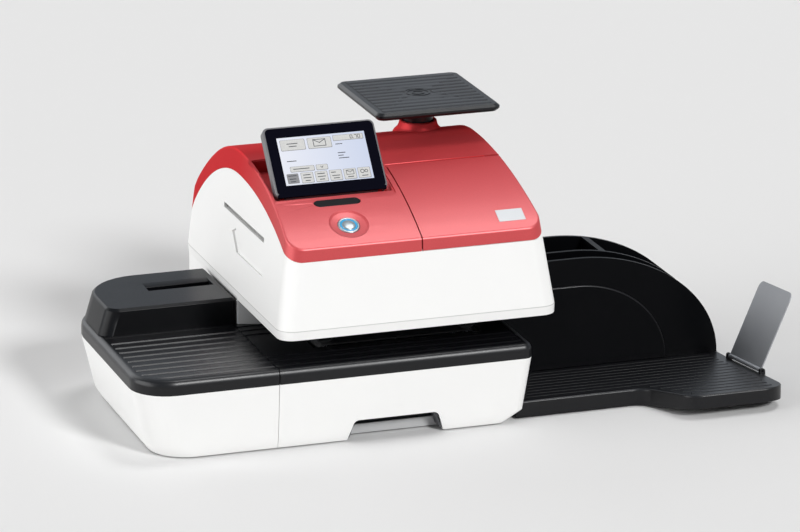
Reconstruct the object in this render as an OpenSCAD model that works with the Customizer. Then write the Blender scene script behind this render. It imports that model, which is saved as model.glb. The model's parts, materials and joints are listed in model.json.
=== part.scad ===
// Desktop postage meter with a feed module, an arched hood, a weighing pan and a catch tray.
// Millimetres, +Z up. Mail travels along +X. The origin is on the floor, midway along the outline.

/* [Housings] */
// Width of the feed module
feed_w = 148; // [125:1:180]
// Depth of the feed module
feed_depth = 279; // [255:1:300]
// Plan radius of the feed module's front corner
feed_corner = 40; // [24:1:50]
// How far the feed module's left wall draws in at the floor
feed_draft = 22; // [12:1:32]
// Width of the base
base_w = 275.5; // [266:0.5:300]
// Depth of the base
base_depth = 378; // [350:1:381]
// How far the base's right wall draws in at the floor
base_draft = 26; // [14:1:32]
// How far the front walls draw in at the floor
front_draft = 9; // [4:1:14]
// Height of the white housings above the floor
housing_h = 72; // [60:1:84]
// Height of the dark lip on the housings
lip_h = 16; // [10:1:20]
// Bevel along the top of the lip
lip_bevel = 4; // [2:0.5:5]
// Wall of the moulded housings
wall = 3; // [2:0.25:4]
// Seam between the feed module and the base
seam = 0.4; // [0.3:0.1:0.8]
// Height of the rubber feet
foot_h = 1.5; // [1:0.25:4]
// Diameter of the rubber feet
foot_d = 14; // [10:0.5:18]

/* [Decks] */
// Pitch of the deck ribs
rib_pitch = 15.4; // [12:0.2:20]
// Height of the deck ribs
rib_h = 1; // [0.5:0.1:1.6]
// Width of the deck ribs at their foot
rib_w = 3; // [2:0.2:4]
// Plain border round the ribbed field
rim_w = 8; // [6:0.5:11]
// Front of the raised block
block_front = 160; // [154:1:172]
// Height of the raised block above the deck
block_h = 29; // [18:1:36]
// How far the block's left side leans in
block_lean = 11; // [6:1:20]
// Length of the label storage slot in the block
slot_len = 71; // [50:1:90]
// Width of the label storage slot
slot_w = 19; // [12:0.5:22]
// Lead-in behind the label storage slot
slot_lead = 12; // [6:0.5:14]

/* [Grip] */
// Left end of the hand grip under the base's front edge
grip_x = 76; // [60:1:90]
// Width of the hand grip
grip_w = 102; // [80:1:120]
// Depth of the hand grip
grip_d = 33; // [26:1:40]
// Height of the hand grip's roof
grip_top = 21; // [18:1:30]

/* [Hood] */
// Height of the mail gap under the hood
throat_h = 26; // [24:0.5:30]
// Left side of the hood, from the module seam
hood_left = 4; // [3:0.5:8]
// Width of the hood at its shoulder
hood_w = 302; // [291:1:318]
// Front of the hood behind the front of the base
hood_front = 8; // [4:1:14]
// Back of the hood
hood_back = 382; // [382:1:396]
// Wall of the hood and its covers
hood_wall = 3.5; // [2.5:0.25:4]
// Height of the bevelled strip along the hood's lower edge
shoulder_h = 9; // [5:0.5:12]
// Depth of the bevelled strip
shoulder_in = 2; // [1:0.25:2.5]
// Inward lean of the hood's left side, per unit of height
left_lean = 0.13; // [0.1:0.01:0.17]
// Inward lean of the hood's right side, per unit of height
side_lean = 0.168; // [0.1:0.01:0.2]
// Backward lean of the hood's front, per unit of height
front_lean = 0.07; // [0.03:0.01:0.1]
// Plan radius of the hood's front corners
hood_corner = 18; // [14:1:28]
// Plan radius of the hood's rear corners
hood_back_corner = 46; // [36:1:50]
// Height of the white front above the floor
white_front_z = 195; // [188:1:199]
// Rear end of the red cover above the floor
cover_tail_z = 160; // [150:1:172]
// Height of the crown above the floor
crown_z = 262; // [256:1:270]
// Place of the crown behind the front of the base
crown_y = 208; // [203:1:214]
// Radius of the cover in front of the crown
cover_r = 380; // [360:1:420]
// Radius of the cover just behind the crown
crest_r = 150; // [140:1:160]
// Angle turned by the arc just behind the crown
crest_turn = 30; // [27:0.5:32]
// Radius of the cover's back
back_r = 228; // [215:1:240]
// Depth of the red band on the hood's sides at the crown
band_h = 23; // [18:0.5:26]
// Radius of the white side panel in front of its crown
panel_front_r = 430; // [415:1:445]
// Radius of the white side panel behind its crown
panel_back_r = 170; // [164:1:180]
// Gap between the covers
cover_gap = 0.6; // [0.4:0.1:1]

/* [Lid] */
// Centre seam between the covers, from the module seam
lid_seam_x = 157.5; // [156:0.5:164]
// Hinge axis of the cartridge lid behind the front of the base
lid_hinge_y = 131; // [126:1:136]
// Radius of the rolled edge round the lid's hinge
bead_r = 5; // [4.5:0.25:6]
// Diameter of the lid's hinge pin
lid_pin_d = 3; // [2:0.25:3.5]
// Width of the bare badge plate
badge_w = 29; // [20:1:34]
// Depth of the bare badge plate
badge_d = 17; // [10:1:20]

/* [Display] */
// Width of the display
display_w = 121; // [116:1:124]
// Height of the display
display_h = 79.5; // [76:0.5:82]
// Thickness of the display
display_t = 12; // [11:0.5:13]
// Width of the lit panel, as on a 4.3 inch screen
screen_w = 95; // [80:0.5:100]
// Height of the lit panel
screen_h = 54; // [45:0.5:57]
// Lit panel above the display's lower edge
screen_up = 12.5; // [10:0.5:14]
// Angle of the display above level
display_tilt = 50; // [42:1:58]
// Left side of the display, from the module seam
display_x = 26; // [25:0.5:28]
// Depth of the well that the display folds into
well_depth = 14; // [13:0.5:18]
// Diameter of the display's hinge pin
display_pin_d = 4; // [3:0.25:4.5]

/* [Keys] */
// Diameter of the power button
button_d = 23; // [18:0.5:26]
// Diameter of the dish round the power button
dish_d = 42; // [36:1:44]
// Depth of the dish
dish_depth = 2.2; // [1.5:0.1:2.5]
// Place of the power button behind the front of the base
button_y = 41; // [39:1:43]
// Length of the release key
key_l = 50; // [40:1:56]
// Width of the release key
key_w = 12; // [9:0.5:13]
// Place of the release key behind the front of the base
key_y = 74; // [73:0.5:75]
// Side clearance of the keys
key_fit = 0.3; // [0.2:0.05:0.4]

/* [Scale] */
// Width of the weighing pan
pan_w = 138; // [120:1:150]
// Depth of the weighing pan
pan_d = 144; // [120:1:148]
// Thickness of the weighing pan's rim
pan_t = 8; // [7:0.5:11]
// Top of the weighing pan above the crown
pan_rise = 37; // [30:1:43]
// Centre of the pan, from the module seam
pan_x = 231; // [222:1:236]
// Centre of the pan behind the front of the base
pan_y = 241; // [238:1:246]
// Diameter of the pan's stem
stem_d = 32; // [28:1:36]
// Top of the collar above the crown
collar_rise = 19; // [14:1:22]
// Wall at the top of the collar
collar_wall = 2.8; // [2:0.2:4]

/* [Catch tray] */
// Length of the catch tray
tray_l = 281.5; // [260:0.5:300]
// Fall of the tray's floor towards its wall, in degrees
tray_fall = 6.7; // [5:0.1:8]
// Front of the tray next to the base
tray_front = 19; // [12:1:28]
// How far the tray's right part juts forward
tray_jut = 62; // [45:1:75]
// Length of the tray's right part
jut_l = 108; // [100:1:125]
// Height of the tray's wall above its foot
tray_wall_h = 121; // [105:1:130]
// Length of the wall's rounded end
tray_round = 163; // [150:1:175]
// Thickness of the tray's upright walls
fin_t = 4; // [3:0.25:5]
// Width of the groove behind the front wall
groove_w = 24; // [18:1:30]
// Width of the storage pocket
pocket_w = 52; // [40:1:60]
// Width of the stop plate
stop_w = 86; // [70:1:95]
// Height of the stop plate
stop_h = 88; // [70:1:100]
// Thickness of the stop plate
stop_t = 1.2; // [0.8:0.1:1.6]
// Outward lean of the stop plate
stop_lean = 26; // [15:1:30]
// Diameter of the stop plate's hinge pin
stop_pin_d = 2.5; // [2:0.25:3]

/* [Transport] */
// Diameter of the belt rollers
roller_d = 20; // [17:0.5:21]
// Diameter of the roller shafts
shaft_d = 6; // [4:0.5:7]
// Thickness of the transport belt
belt_t = 1.2; // [0.8:0.1:1.6]
// Width of the transport belt
belt_w = 40; // [30:1:42]
// Idler roller, from the module seam
idler_x = 70; // [60:1:80]
// Drive roller, in from the base's right side
drive_in = 50.5; // [44:0.5:56]
// Diameter of the pressure rollers
press_d = 22; // [18:0.5:22.5]
// Module of the drive gears
gear_m = 1; // [0.8:0.05:1.05]
// Teeth on the drive gear
gear_teeth = 35; // [30:1:36]
// Teeth on the motor pinion
pinion_teeth = 14; // [14:1:16]
// Diameter of the drive motor
motor_d = 32; // [24:1:36]
// Length of the drive motor
motor_l = 44; // [34:1:60]
// Radial clearance of everything that turns
run_fit = 0.05; // [0.02:0.01:0.08]

/* [Printing] */
// Diameter of the carriage's guide rods
rod_d = 8; // [6:0.5:9]
// Width of the print carriage
carriage_w = 45; // [42:1:48]
// Travel of the print carriage
carriage_travel = 34; // [20:1:34]

/* [Hidden] */
$fn = 64;

// Thin slab used as one level of a moulded loft
skin = 0.4;
// Reach past a face that a cut goes through
past = 1;
// Clearance between pieces that are pushed together
fit = 0.2;
// Clearance between a rim and the pin or inlay seated in it
snug = 0.02;
// Clearance kept by pieces that move past each other
clear = 0.4;

white = "#f2f1ec";
red = "#c1444b";
black = "#26272b";
grey = "#b9bbbd";
steel = "#a9adb1";

// Levels of the machine
deck_z = housing_h + lip_h;
deck_t = 3.4;
field_z = deck_z - rib_h;
hood_z = deck_z + throat_h;
hood_floor_t = 3;
floor_top_z = hood_z + hood_floor_t;
// Above everything in the hood
sky_z = crown_z + 8;
shoulder_z = hood_z + shoulder_h;
hood_right = hood_left + hood_w;
pan_z = crown_z + pan_rise;
collar_z = crown_z + collar_rise;
// Front face of the mail guide, and of the column that carries it
guide_y = 152;
guide_t = 12;
column_front = guide_y + guide_t;

// Points on an arc about c
function arc(c, r, from, to, n = 8) =
    [for (i = [0:n]) c + r * [cos(from + (to - from) * i / n), sin(from + (to - from) * i / n)]];

// A corner of the given radius, or the bare corner when the radius is nothing
function corner(c, r, from) = r > 0 ? arc(c, r, from, from + 90) : [c];

// Rectangle with its own radius at each corner: front left, front right, back right, back left
function plan(x0, y0, x1, y1, r) = concat(
    corner([x0 + r[0], y0 + r[0]], r[0], 180),
    corner([x1 - r[1], y0 + r[1]], r[1], 270),
    corner([x1 - r[2], y1 - r[2]], r[2], 0),
    corner([x0 + r[3], y1 - r[3]], r[3], 90)
);

// Unit vector between two points
function toward(a, b) = (b - a) / norm(b - a);

// Outline through the points, each corner rounded with its own radius
function rounded(pts, radii, n = 8) = [
    for (i = [0:len(pts) - 1])
        let (
            p = pts[i],
            u = toward(p, pts[(i + len(pts) - 1) % len(pts)]),
            v = toward(p, pts[(i + 1) % len(pts)]),
            half = acos(u * v) / 2,
            c = p + toward([0, 0], u + v) * radii[i] / sin(half),
            a = p + u * radii[i] / tan(half),
            b = p + v * radii[i] / tan(half),
            from = atan2(a[1] - c[1], a[0] - c[0]),
            turn = atan2(b[1] - c[1], b[0] - c[0]) - from,
            sweep = turn > 180 ? turn - 360 : turn < -180 ? turn + 360 : turn
        )
        for (j = [0:n]) c + radii[i] * [cos(from + sweep * j / n), sin(from + sweep * j / n)]
];

module slab(pts, z) {
    translate([0, 0, z]) linear_extrude(skin) polygon(pts);
}

// Extrudes an outline drawn in (Y, Z) along X
module along_x(x0, x1) {
    translate([x0, 0, 0]) rotate([90, 0, 90]) linear_extrude(x1 - x0) children();
}

// Extrudes an outline drawn in (X, Z) along Y
module along_y(y0, y1) {
    translate([0, y1, 0]) rotate([90, 0, 0]) linear_extrude(y1 - y0) children();
}

// Cylinder along X between two places, about (y, z)
module bar_x(r, x0, x1, y, z) {
    translate([x0, y, z]) rotate([0, 90, 0]) cylinder(r = r, h = x1 - x0);
}

// Cylinder along Y between two places, about (x, z)
module bar_y(r, y0, y1, x, z) {
    translate([x, y0, z]) rotate([-90, 0, 0]) cylinder(r = r, h = y1 - y0);
}

// Overall outline, which sets the origin; the tray tucks in under the base's leaning side
tray_tuck = 13;
tray_x0 = base_w - tray_tuck;
tray_x1 = tray_x0 + tray_l;
stop_x = tray_x1 - 1.5;
stop_axis_up = 3.2;
reach_left = -feed_w;
reach_right = stop_x + stop_h * sin(stop_lean) + stop_t / 2 * cos(stop_lean);
reach_front = tray_front - tray_jut;
reach_back = hood_back;

module place() {
    translate([-(reach_left + reach_right) / 2, -(reach_front + reach_back) / 2, 0]) children();
}

// Feed module

feed_back_corner = 63;
// Height where the housings start to round in towards the floor
toe_z = foot_h + 12.5;
toe_share = 0.62;

function feed_outline(left_in, front_in, inset = 0) = plan(
    -feed_w + left_in + inset, front_in + inset, -seam / 2 - inset, feed_depth - inset,
    [feed_corner - inset, 0, 0, feed_back_corner - inset]
);

module feed_housing() {
    color(white) place() difference() {
        hull() {
            slab(feed_outline(feed_draft, front_draft), foot_h);
            slab(feed_outline(feed_draft * toe_share, front_draft * toe_share), toe_z);
            slab(feed_outline(0, 0), housing_h - skin);
        }
        hull() {
            slab(feed_outline(feed_draft, front_draft, wall), foot_h + wall);
            slab(feed_outline(feed_draft * toe_share, front_draft * toe_share, wall), toe_z);
            slab(feed_outline(0, 0, wall), housing_h + past);
        }
    }
}

// Low ridge along X, standing on the ribbed field
module rib(x0, x1, y, z, w = rib_w, h = rib_h) {
    along_x(x0, x1) translate([y, z])
        polygon([[-w / 2, -past / 4], [w / 2, -past / 4], [w / 4, h], [-w / 4, h]]);
}

first_rib = rim_w + 7;
rib_end = 1;

// Left end of the ribbed field at y, following the rounded corner
function field_left(y, inset) = y >= feed_corner
    ? -feed_w + inset
    : -feed_w + feed_corner - sqrt(pow(feed_corner - inset, 2) - pow(feed_corner - y, 2));

module feed_deck() {
    color(black) place() {
        difference() {
            hull() {
                translate([0, 0, housing_h]) linear_extrude(lip_h - lip_bevel) polygon(feed_outline(0, 0));
                slab(plan(
                    -feed_w + lip_bevel, lip_bevel, -seam / 2, feed_depth - lip_bevel,
                    [feed_corner - lip_bevel, 0, 0, feed_back_corner - lip_bevel]
                ), deck_z - skin);
            }
            translate([0, 0, housing_h - past])
                linear_extrude(lip_h - deck_t + past) polygon(feed_outline(0, 0, wall));
            intersection() {
                translate([0, 0, field_z]) linear_extrude(lip_h) polygon(plan(
                    -feed_w + rim_w, rim_w, past, block_front,
                    [feed_corner - rim_w, 0, 0, 0]
                ));
                translate([-feed_w, 0, field_z]) cube([feed_w + past, block_front, lip_h]);
            }
        }
        for (y = [first_rib : rib_pitch : block_front - rim_w])
            rib(field_left(y, rim_w + rib_end), -seam, y, field_z);
    }
}

block_right = hood_left - 1.5;
block_top = deck_z + block_h;
block_bevel = 3;
block_corner = 14;
slot_right = -6;
slot_front = block_front + 53;
slot_dip = slot_lead / 5;

function block_outline(left_in, inset) = plan(
    -feed_w + lip_bevel + left_in + inset, block_front + inset,
    block_right - inset, feed_depth - lip_bevel - inset,
    [block_corner - inset, 3 - inset / 2, 3 - inset / 2, feed_back_corner - lip_bevel - inset]
);

module strip_block() {
    color(black) place() difference() {
        hull() {
            slab(block_outline(0, 0), deck_z);
            slab(block_outline(block_lean - block_bevel, 0), block_top - block_bevel);
            slab(block_outline(block_lean - block_bevel, block_bevel), block_top - skin);
        }
        along_x(slot_right - slot_len, slot_right) polygon([
            [slot_front, deck_z + wall], [slot_front + slot_w, deck_z + wall],
            [slot_front + slot_w, block_top - slot_dip],
            [slot_front + slot_w + slot_lead, block_top + past], [slot_front, block_top + past]
        ]);
    }
}

// Base

base_corner = 10;
base_back_corner = 30;
// Share of the base's draw-in that lies above the toe
base_toe_share = 0.3;
drive_x = base_w - drive_in;
grip_r = 5;
grip_slant = 8;
liner_t = 2;
rail_t = 2;
rail_h = 10;
pan_plate_t = 2;
pan_plate_top = foot_h + pan_plate_t;
boss_r = 5;
screw_r = 1.5;
screw_head_r = 3;
screw_l = 10;

inlet_x = 60;
inlet_z = 34;
inlet_w = 27;
inlet_h = 20;

// Hooks that hang the tray on the base
hook_z = 9;
hook_h = 6;
hook_w = 14;
hook_ys = [70, 120];

function base_outline(right_in, front_in, inset = 0) = plan(
    seam / 2 + inset, front_in + inset, base_w - right_in - inset, base_depth - inset,
    [0, base_corner, base_back_corner, 0]
);

// Right wall of the base at height z below the toe's end
function base_right(z) = z > toe_z
    ? base_w - base_draft * base_toe_share * (housing_h - z) / (housing_h - toe_z)
    : base_w - base_draft * (base_toe_share + (1 - base_toe_share) * (toe_z - z) / (toe_z - foot_h));

// Opening of the hand grip, drawn in (X, Z), grown on its sides and roof
module grip_shape(grow) {
    polygon(rounded(
        [
            [grip_x - grow, -past], [grip_x + grip_w + grow, -past],
            [grip_x + grip_w + grow - grip_slant, grip_top + grow], [grip_x - grow + grip_slant, grip_top + grow]
        ],
        [0.3, 0.3, grip_r + grow, grip_r + grow]
    ));
}

screw_places = [
    [18, 26], [base_w - base_draft - 26, 26],
    [18, base_depth - 16], [base_w - base_draft - 26, base_depth - 16]
];

module base_housing() {
    color(white) place() {
        difference() {
            hull() {
                slab(base_outline(base_draft, front_draft), foot_h);
                slab(base_outline(base_draft * base_toe_share, front_draft * toe_share), toe_z);
                slab(base_outline(0, 0), housing_h - skin);
            }
            hull() {
                slab(base_outline(base_draft, front_draft, wall), foot_h - past);
                slab(base_outline(base_draft * base_toe_share, front_draft * toe_share, wall), toe_z);
                slab(base_outline(0, 0, wall), housing_h + past);
            }
            along_y(-past, front_draft + 2 * wall) grip_shape(liner_t + fit);
            translate([inlet_x - inlet_w / 2 - fit, base_depth - wall - past, inlet_z - inlet_h / 2 - fit])
                cube([inlet_w + 2 * fit, wall + 2 * past, inlet_h + 2 * fit]);
            for (y = hook_ys)
                translate([base_right(hook_z) - 3 * wall, y - hook_w / 2 - fit, hook_z - hook_h / 2 - fit])
                    cube([6 * wall, hook_w + 2 * fit, hook_h + 2 * fit]);
        }
        for (p = screw_places) difference() {
            union() {
                translate([p[0], p[1], pan_plate_top]) cylinder(r = boss_r, h = screw_l + wall);
                translate([p[0] - boss_r / 2, p[1] < base_depth / 2 ? front_draft + wall / 2 : p[1], pan_plate_top])
                    cube([boss_r, p[1] < base_depth / 2 ? p[1] - front_draft - wall / 2 : base_depth - wall / 2 - p[1],
                        screw_l + wall]);
            }
            translate([p[0], p[1], pan_plate_top - past]) cylinder(r = screw_r + snug, h = screw_l + past);
        }
    }
}

belt_y = 64;
window_fit = 3;
belt_r = roller_d / 2 + run_fit + belt_t;
belt_rise = 0.5;
roller_z = deck_z + belt_rise - belt_r;

module base_deck() {
    color(black) place() {
        difference() {
            hull() {
                translate([0, 0, housing_h]) linear_extrude(lip_h - lip_bevel)
                    polygon(plan(seam / 2, 0, base_w, column_front, [0, base_corner, 0, 0]));
                slab(plan(
                    seam / 2, lip_bevel, base_w - lip_bevel, column_front, [0, base_corner - lip_bevel, 0, 0]
                ), deck_z - skin);
            }
            translate([0, 0, housing_h - past]) linear_extrude(lip_h - deck_t + past) polygon(plan(
                seam / 2 + wall, wall, base_w - wall, column_front + past, [0, base_corner - wall, 0, 0]
            ));
            translate([-past, rim_w, field_z]) cube([base_w - rim_w + past, guide_y - rim_w, lip_h]);
            translate([idler_x - belt_r - window_fit, belt_y - window_fit, housing_h])
                cube([drive_x - idler_x + 2 * (belt_r + window_fit), belt_w + 2 * window_fit, 2 * lip_h]);
        }
        for (y = [first_rib : rib_pitch : guide_y - rim_w])
            if (y + rib_w < belt_y - window_fit || y - rib_w > belt_y + belt_w + window_fit)
                rib(seam, base_w - rim_w - rib_end, y, field_z);
    }
}

module bottom_pan() {
    rail_y = grip_d - 7 * rail_t / 2;
    color(grey) place() {
        difference() {
            translate([0, 0, foot_h]) linear_extrude(pan_plate_t)
                polygon(base_outline(base_draft, front_draft, wall + fit));
            along_y(-past, rail_y) grip_shape(liner_t + fit);
            for (p = screw_places) translate([p[0], p[1], 0]) {
                cylinder(r = screw_r + snug, h = screw_l);
                translate([0, 0, foot_h - past]) cylinder(r = screw_head_r + fit, h = past + pan_plate_t / 2);
            }
        }
        along_y(rail_y, rail_y + rail_t) intersection() {
            grip_shape(-fit);
            translate([grip_x, foot_h]) square([grip_w, rail_h]);
        }
    }
}

module grip_liner() {
    color("#3a3b40") place() difference() {
        along_y(front_draft + 1, grip_d + liner_t) intersection() {
            grip_shape(liner_t);
            translate([0, pan_plate_top]) square([base_w, housing_h]);
        }
        along_y(-past, grip_d) grip_shape(0);
    }
}

module base_screws() {
    color(steel) place() for (p = screw_places) translate([p[0], p[1], foot_h]) {
        translate([0, 0, pan_plate_t / 2 - 1]) cylinder(r = screw_head_r, h = 1);
        translate([0, 0, pan_plate_t / 2]) cylinder(r = screw_r, h = screw_l - 1);
    }
}

foot_places = [
    [-feed_w + feed_draft + 30, 55], [-30, feed_depth - 40], [-feed_w + feed_draft + 50, feed_depth - 40],
    [36, 60], [base_w - base_draft - 30, 60], [36, base_depth - 40], [base_w - base_draft - 30, base_depth - 40],
    [tray_x0 + 40, 100], [tray_x1 - 40, 100], [tray_x0 + 40, 220], [tray_x1 - 90, 220]
];

module rubber_feet() {
    color("#1c1c1e") place() for (p = foot_places)
        translate([p[0], p[1], 0]) cylinder(d = foot_d, h = foot_h);
}

column_x0 = hood_left + 4;
column_x1 = base_w - 6;
shaft_hole_fit = 1.5;

module rear_column() {
    color(white) place() difference() {
        translate([0, 0, housing_h]) linear_extrude(hood_z - housing_h)
            polygon(plan(column_x0, column_front, column_x1, base_depth, [0, 0, base_back_corner, base_back_corner]));
        translate([0, 0, housing_h - past]) linear_extrude(hood_z) polygon(plan(
            column_x0 + wall, column_front + wall, column_x1 - wall, base_depth - wall,
            [0, 0, base_back_corner - wall, base_back_corner - wall]
        ));
        bar_y(shaft_d / 2 + shaft_hole_fit, column_front - past, column_front + wall + past, drive_x, roller_z);
    }
}

module mail_guide() {
    entry = 22;
    lead = block_front - guide_y;
    color(grey) place() translate([0, 0, deck_z]) linear_extrude(throat_h) polygon([
        [block_right + past, guide_y + lead], [block_right + past + entry, guide_y],
        [base_w - entry, guide_y], [base_w - entry / 4, column_front], [block_right + past, column_front]
    ]);
}

// Hood

// Plan of the hood at height z
function hood_outline(z, inset) = plan(
    hood_left + left_lean * (z - shoulder_z) + inset, hood_front + front_lean * (z - shoulder_z) + inset,
    hood_right - side_lean * (z - shoulder_z) - inset, hood_back - inset,
    [for (r = [hood_corner, hood_corner, hood_back_corner, hood_back_corner]) max(r - inset, 1)]
);

module hood_loft(inset, z0) {
    hull() {
        slab(hood_outline(z0, inset), z0);
        slab(hood_outline(sky_z, inset), sky_z);
    }
}

// Height and slope of the red cover's surface in front of the crown
function cover_z(y) = crown_z - cover_r + sqrt(pow(cover_r, 2) - pow(crown_y - y, 2));
function cover_tilt(y) = asin((crown_y - y) / cover_r);

crest_end = [crown_y + crest_r * sin(crest_turn), crown_z - crest_r * (1 - cos(crest_turn))];
back_c = crest_end - back_r * [sin(crest_turn), cos(crest_turn)];

module disc(c, r, y0, y1) {
    intersection() {
        translate(c) circle(r = r, $fn = 180);
        translate([y0, 0]) square([y1 - y0, sky_z]);
    }
}

// Side view of the whole hood, drawn in (Y, Z): three arcs that run into each other
module cover_side(inset) {
    disc([crown_y, crown_z - cover_r], cover_r - inset, 0, crown_y);
    disc([crown_y, crown_z - crest_r], crest_r - inset, crown_y, crest_end[0]);
    disc(back_c, back_r - inset, crest_end[0], hood_back + past);
}

panel_crown = [crown_y - 5, crown_z - band_h];

// Side view of the white part of the hood
module panel_side(grow) {
    disc(panel_crown - [0, panel_front_r], panel_front_r + grow, 0, panel_crown[0]);
    disc(panel_crown - [0, panel_back_r], panel_back_r + grow, panel_crown[0], hood_back + past);
    square([panel_crown[0], white_front_z + grow]);
    square([hood_back + past, cover_tail_z + grow]);
}

// Mouth of the label chute in the hood's left side
chute_y0 = 95;
chute_y1 = 236;
chute_z = 197;
chute_h = 5;
chute_l = 42;
scoop_depth = 2.2;
chute_x = hood_left + left_lean * (chute_z - shoulder_z);

module hood_shell() {
    color(white) place() difference() {
        intersection() {
            hull() {
                slab(hood_outline(hood_z, shoulder_in), hood_z);
                slab(hood_outline(shoulder_z, 0), shoulder_z);
                slab(hood_outline(sky_z, 0), sky_z);
            }
            along_x(hood_left - past, hood_right + past) intersection() {
                panel_side(0);
                cover_side(0);
            }
        }
        intersection() {
            hood_loft(hood_wall, hood_z - past);
            along_x(hood_left, hood_right) cover_side(hood_wall);
        }
        translate([chute_x - 2 * hood_wall, chute_y0, chute_z - chute_h / 2])
            cube([4 * hood_wall, chute_y1 - chute_y0, chute_h]);
        // Finger scoop under the mouth, cut to a plane that follows the leaning side
        translate([chute_x + scoop_depth, 0, chute_z]) rotate([0, atan(left_lean), 0])
            translate([-10, 0, 0]) along_x(0, 10) polygon([
                [chute_y0 - 8, -37], [chute_y0 + 83, -37], [chute_y0 + 105, -19], [chute_y0 + 95, -14], [chute_y0 + 11, -14]
            ]);
    }
}

print_x = hood_right - 108;
print_y = 112;
print_w = 30;
station_gap = 4;
station_x = print_x + carriage_w + station_gap;
station_w = 30;

module hood_floor() {
    color(black) place() difference() {
        translate([0, 0, hood_z]) linear_extrude(hood_floor_t)
            polygon(hood_outline(floor_top_z, hood_wall + fit));
        translate([print_x, print_y, hood_z - past]) cube([carriage_w, print_w, hood_floor_t + 2 * past]);
        translate([station_x, print_y, hood_z - past]) cube([station_w, print_w, hood_floor_t + 2 * past]);
    }
}

module strip_chute() {
    liner = 2;
    x0 = chute_x + hood_wall + left_lean * (chute_h / 2 + liner) + fit / 3;
    color(white) place() difference() {
        translate([x0, chute_y0 - liner, chute_z - chute_h / 2 - liner])
            cube([chute_l, chute_y1 - chute_y0 + 2 * liner, chute_h + 2 * liner]);
        translate([x0 - past, chute_y0, chute_z - chute_h / 2])
            cube([chute_l - liner + past, chute_y1 - chute_y0, chute_h]);
    }
}

// Red covers

// Hinge of the display: inside its lower edge, halfway through its thickness
display_low_y = 89;
display_edge = 6;
display_hinge = [
    display_low_y + display_edge * cos(display_tilt) + display_t / 2 * sin(display_tilt),
    cover_z(display_low_y) + display_edge * sin(display_tilt) - display_t / 2 * cos(display_tilt)
];

// Where the display sits: a shallow field with a deep well behind its front ledge, long enough to fold into
recess_x0 = display_x - 4;
recess_x1 = display_x + display_w + 5;
recess_y0 = 75;
recess_y1 = display_hinge[0] + 0.98 * (display_h - display_edge) + 4.5;
recess_depth = 1.2;
// How far under the surface the bosses end, inside the cover's wall
tuck = (recess_depth + hood_wall) / 2;
recess_r = 8;
recess_tilt = atan((cover_z(recess_y1) - cover_z(recess_y0)) / (recess_y1 - recess_y0));
recess_l = norm([cover_z(recess_y1) - cover_z(recess_y0), recess_y1 - recess_y0]);
well_front = 11;
well_wall = 2.5;
well_in = 1.5;
well_x0 = recess_x0 + well_in;
well_x1 = recess_x1 - well_in;
well_back = recess_l - well_in;

lug_w = 5;
lug_r = display_pin_d / 2 + 1.6;
lug_in = 5;

// Hinge of the lid: its rolled edge lies just under the cover's surface
lid_hinge_z = cover_z(lid_hinge_y) - bead_r / cos(cover_tilt(lid_hinge_y));
lid_edge = lid_seam_x + cover_gap / 2;
eye_r = bead_r - 1.5;
eye_w = 6;
eye_x = hood_right - side_lean * (crown_z - shoulder_z) - 14;
lid_lap = 0.62;

button_x = 88;
button_travel = 1.5;
button_h = 7.4;
button_proud = 0.6;
key_x = 86;
key_travel = 1.2;
key_h = 6;
key_boss = 3;
dish_r = (pow(dish_d / 2, 2) + pow(dish_depth, 2)) / (2 * dish_depth);
boss_depth = 8;
post_r = 2.5;
post_l = 4.4;
board_t = 1.6;
board_l = 42;

// Frame on the cover's surface with +Z square to it
module on_cover(x, y) {
    translate([x, y, cover_z(y)]) rotate([cover_tilt(y), 0, 0]) children();
}

module in_recess() {
    translate([0, recess_y0, cover_z(recess_y0)]) rotate([recess_tilt, 0, 0]) children();
}

// The hood's red shell before it is parted into cover and lid
module red_shell() {
    difference() {
        intersection() {
            hood_loft(0, shoulder_z);
            along_x(hood_left, hood_right) cover_side(0);
        }
        intersection() {
            hood_loft(hood_wall, hood_z);
            along_x(hood_left, hood_right) cover_side(hood_wall);
        }
        along_x(hood_left - past, hood_right + past) panel_side(fit);
    }
}

module stadium(l, w) {
    square([l - w, w], center = true);
    for (s = [-1, 1]) translate([s * (l - w) / 2, 0]) circle(d = w);
}

// Flared collar, revolved about the pan's stem
module collar() {
    foot_z = crown_z - 22;
    top_r = stem_d / 2 + clear + collar_wall;
    flare = 8;
    n = 10;
    translate([pan_x, pan_y, 0]) rotate_extrude($fn = 96) polygon(concat(
        [[0, foot_z], [0, collar_z]],
        [for (i = [0:n]) [top_r + flare * pow(i / n, 3), collar_z - (collar_z - crown_z + 8) * i / n]],
        [[top_r + flare, foot_z]]
    ));
}

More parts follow.
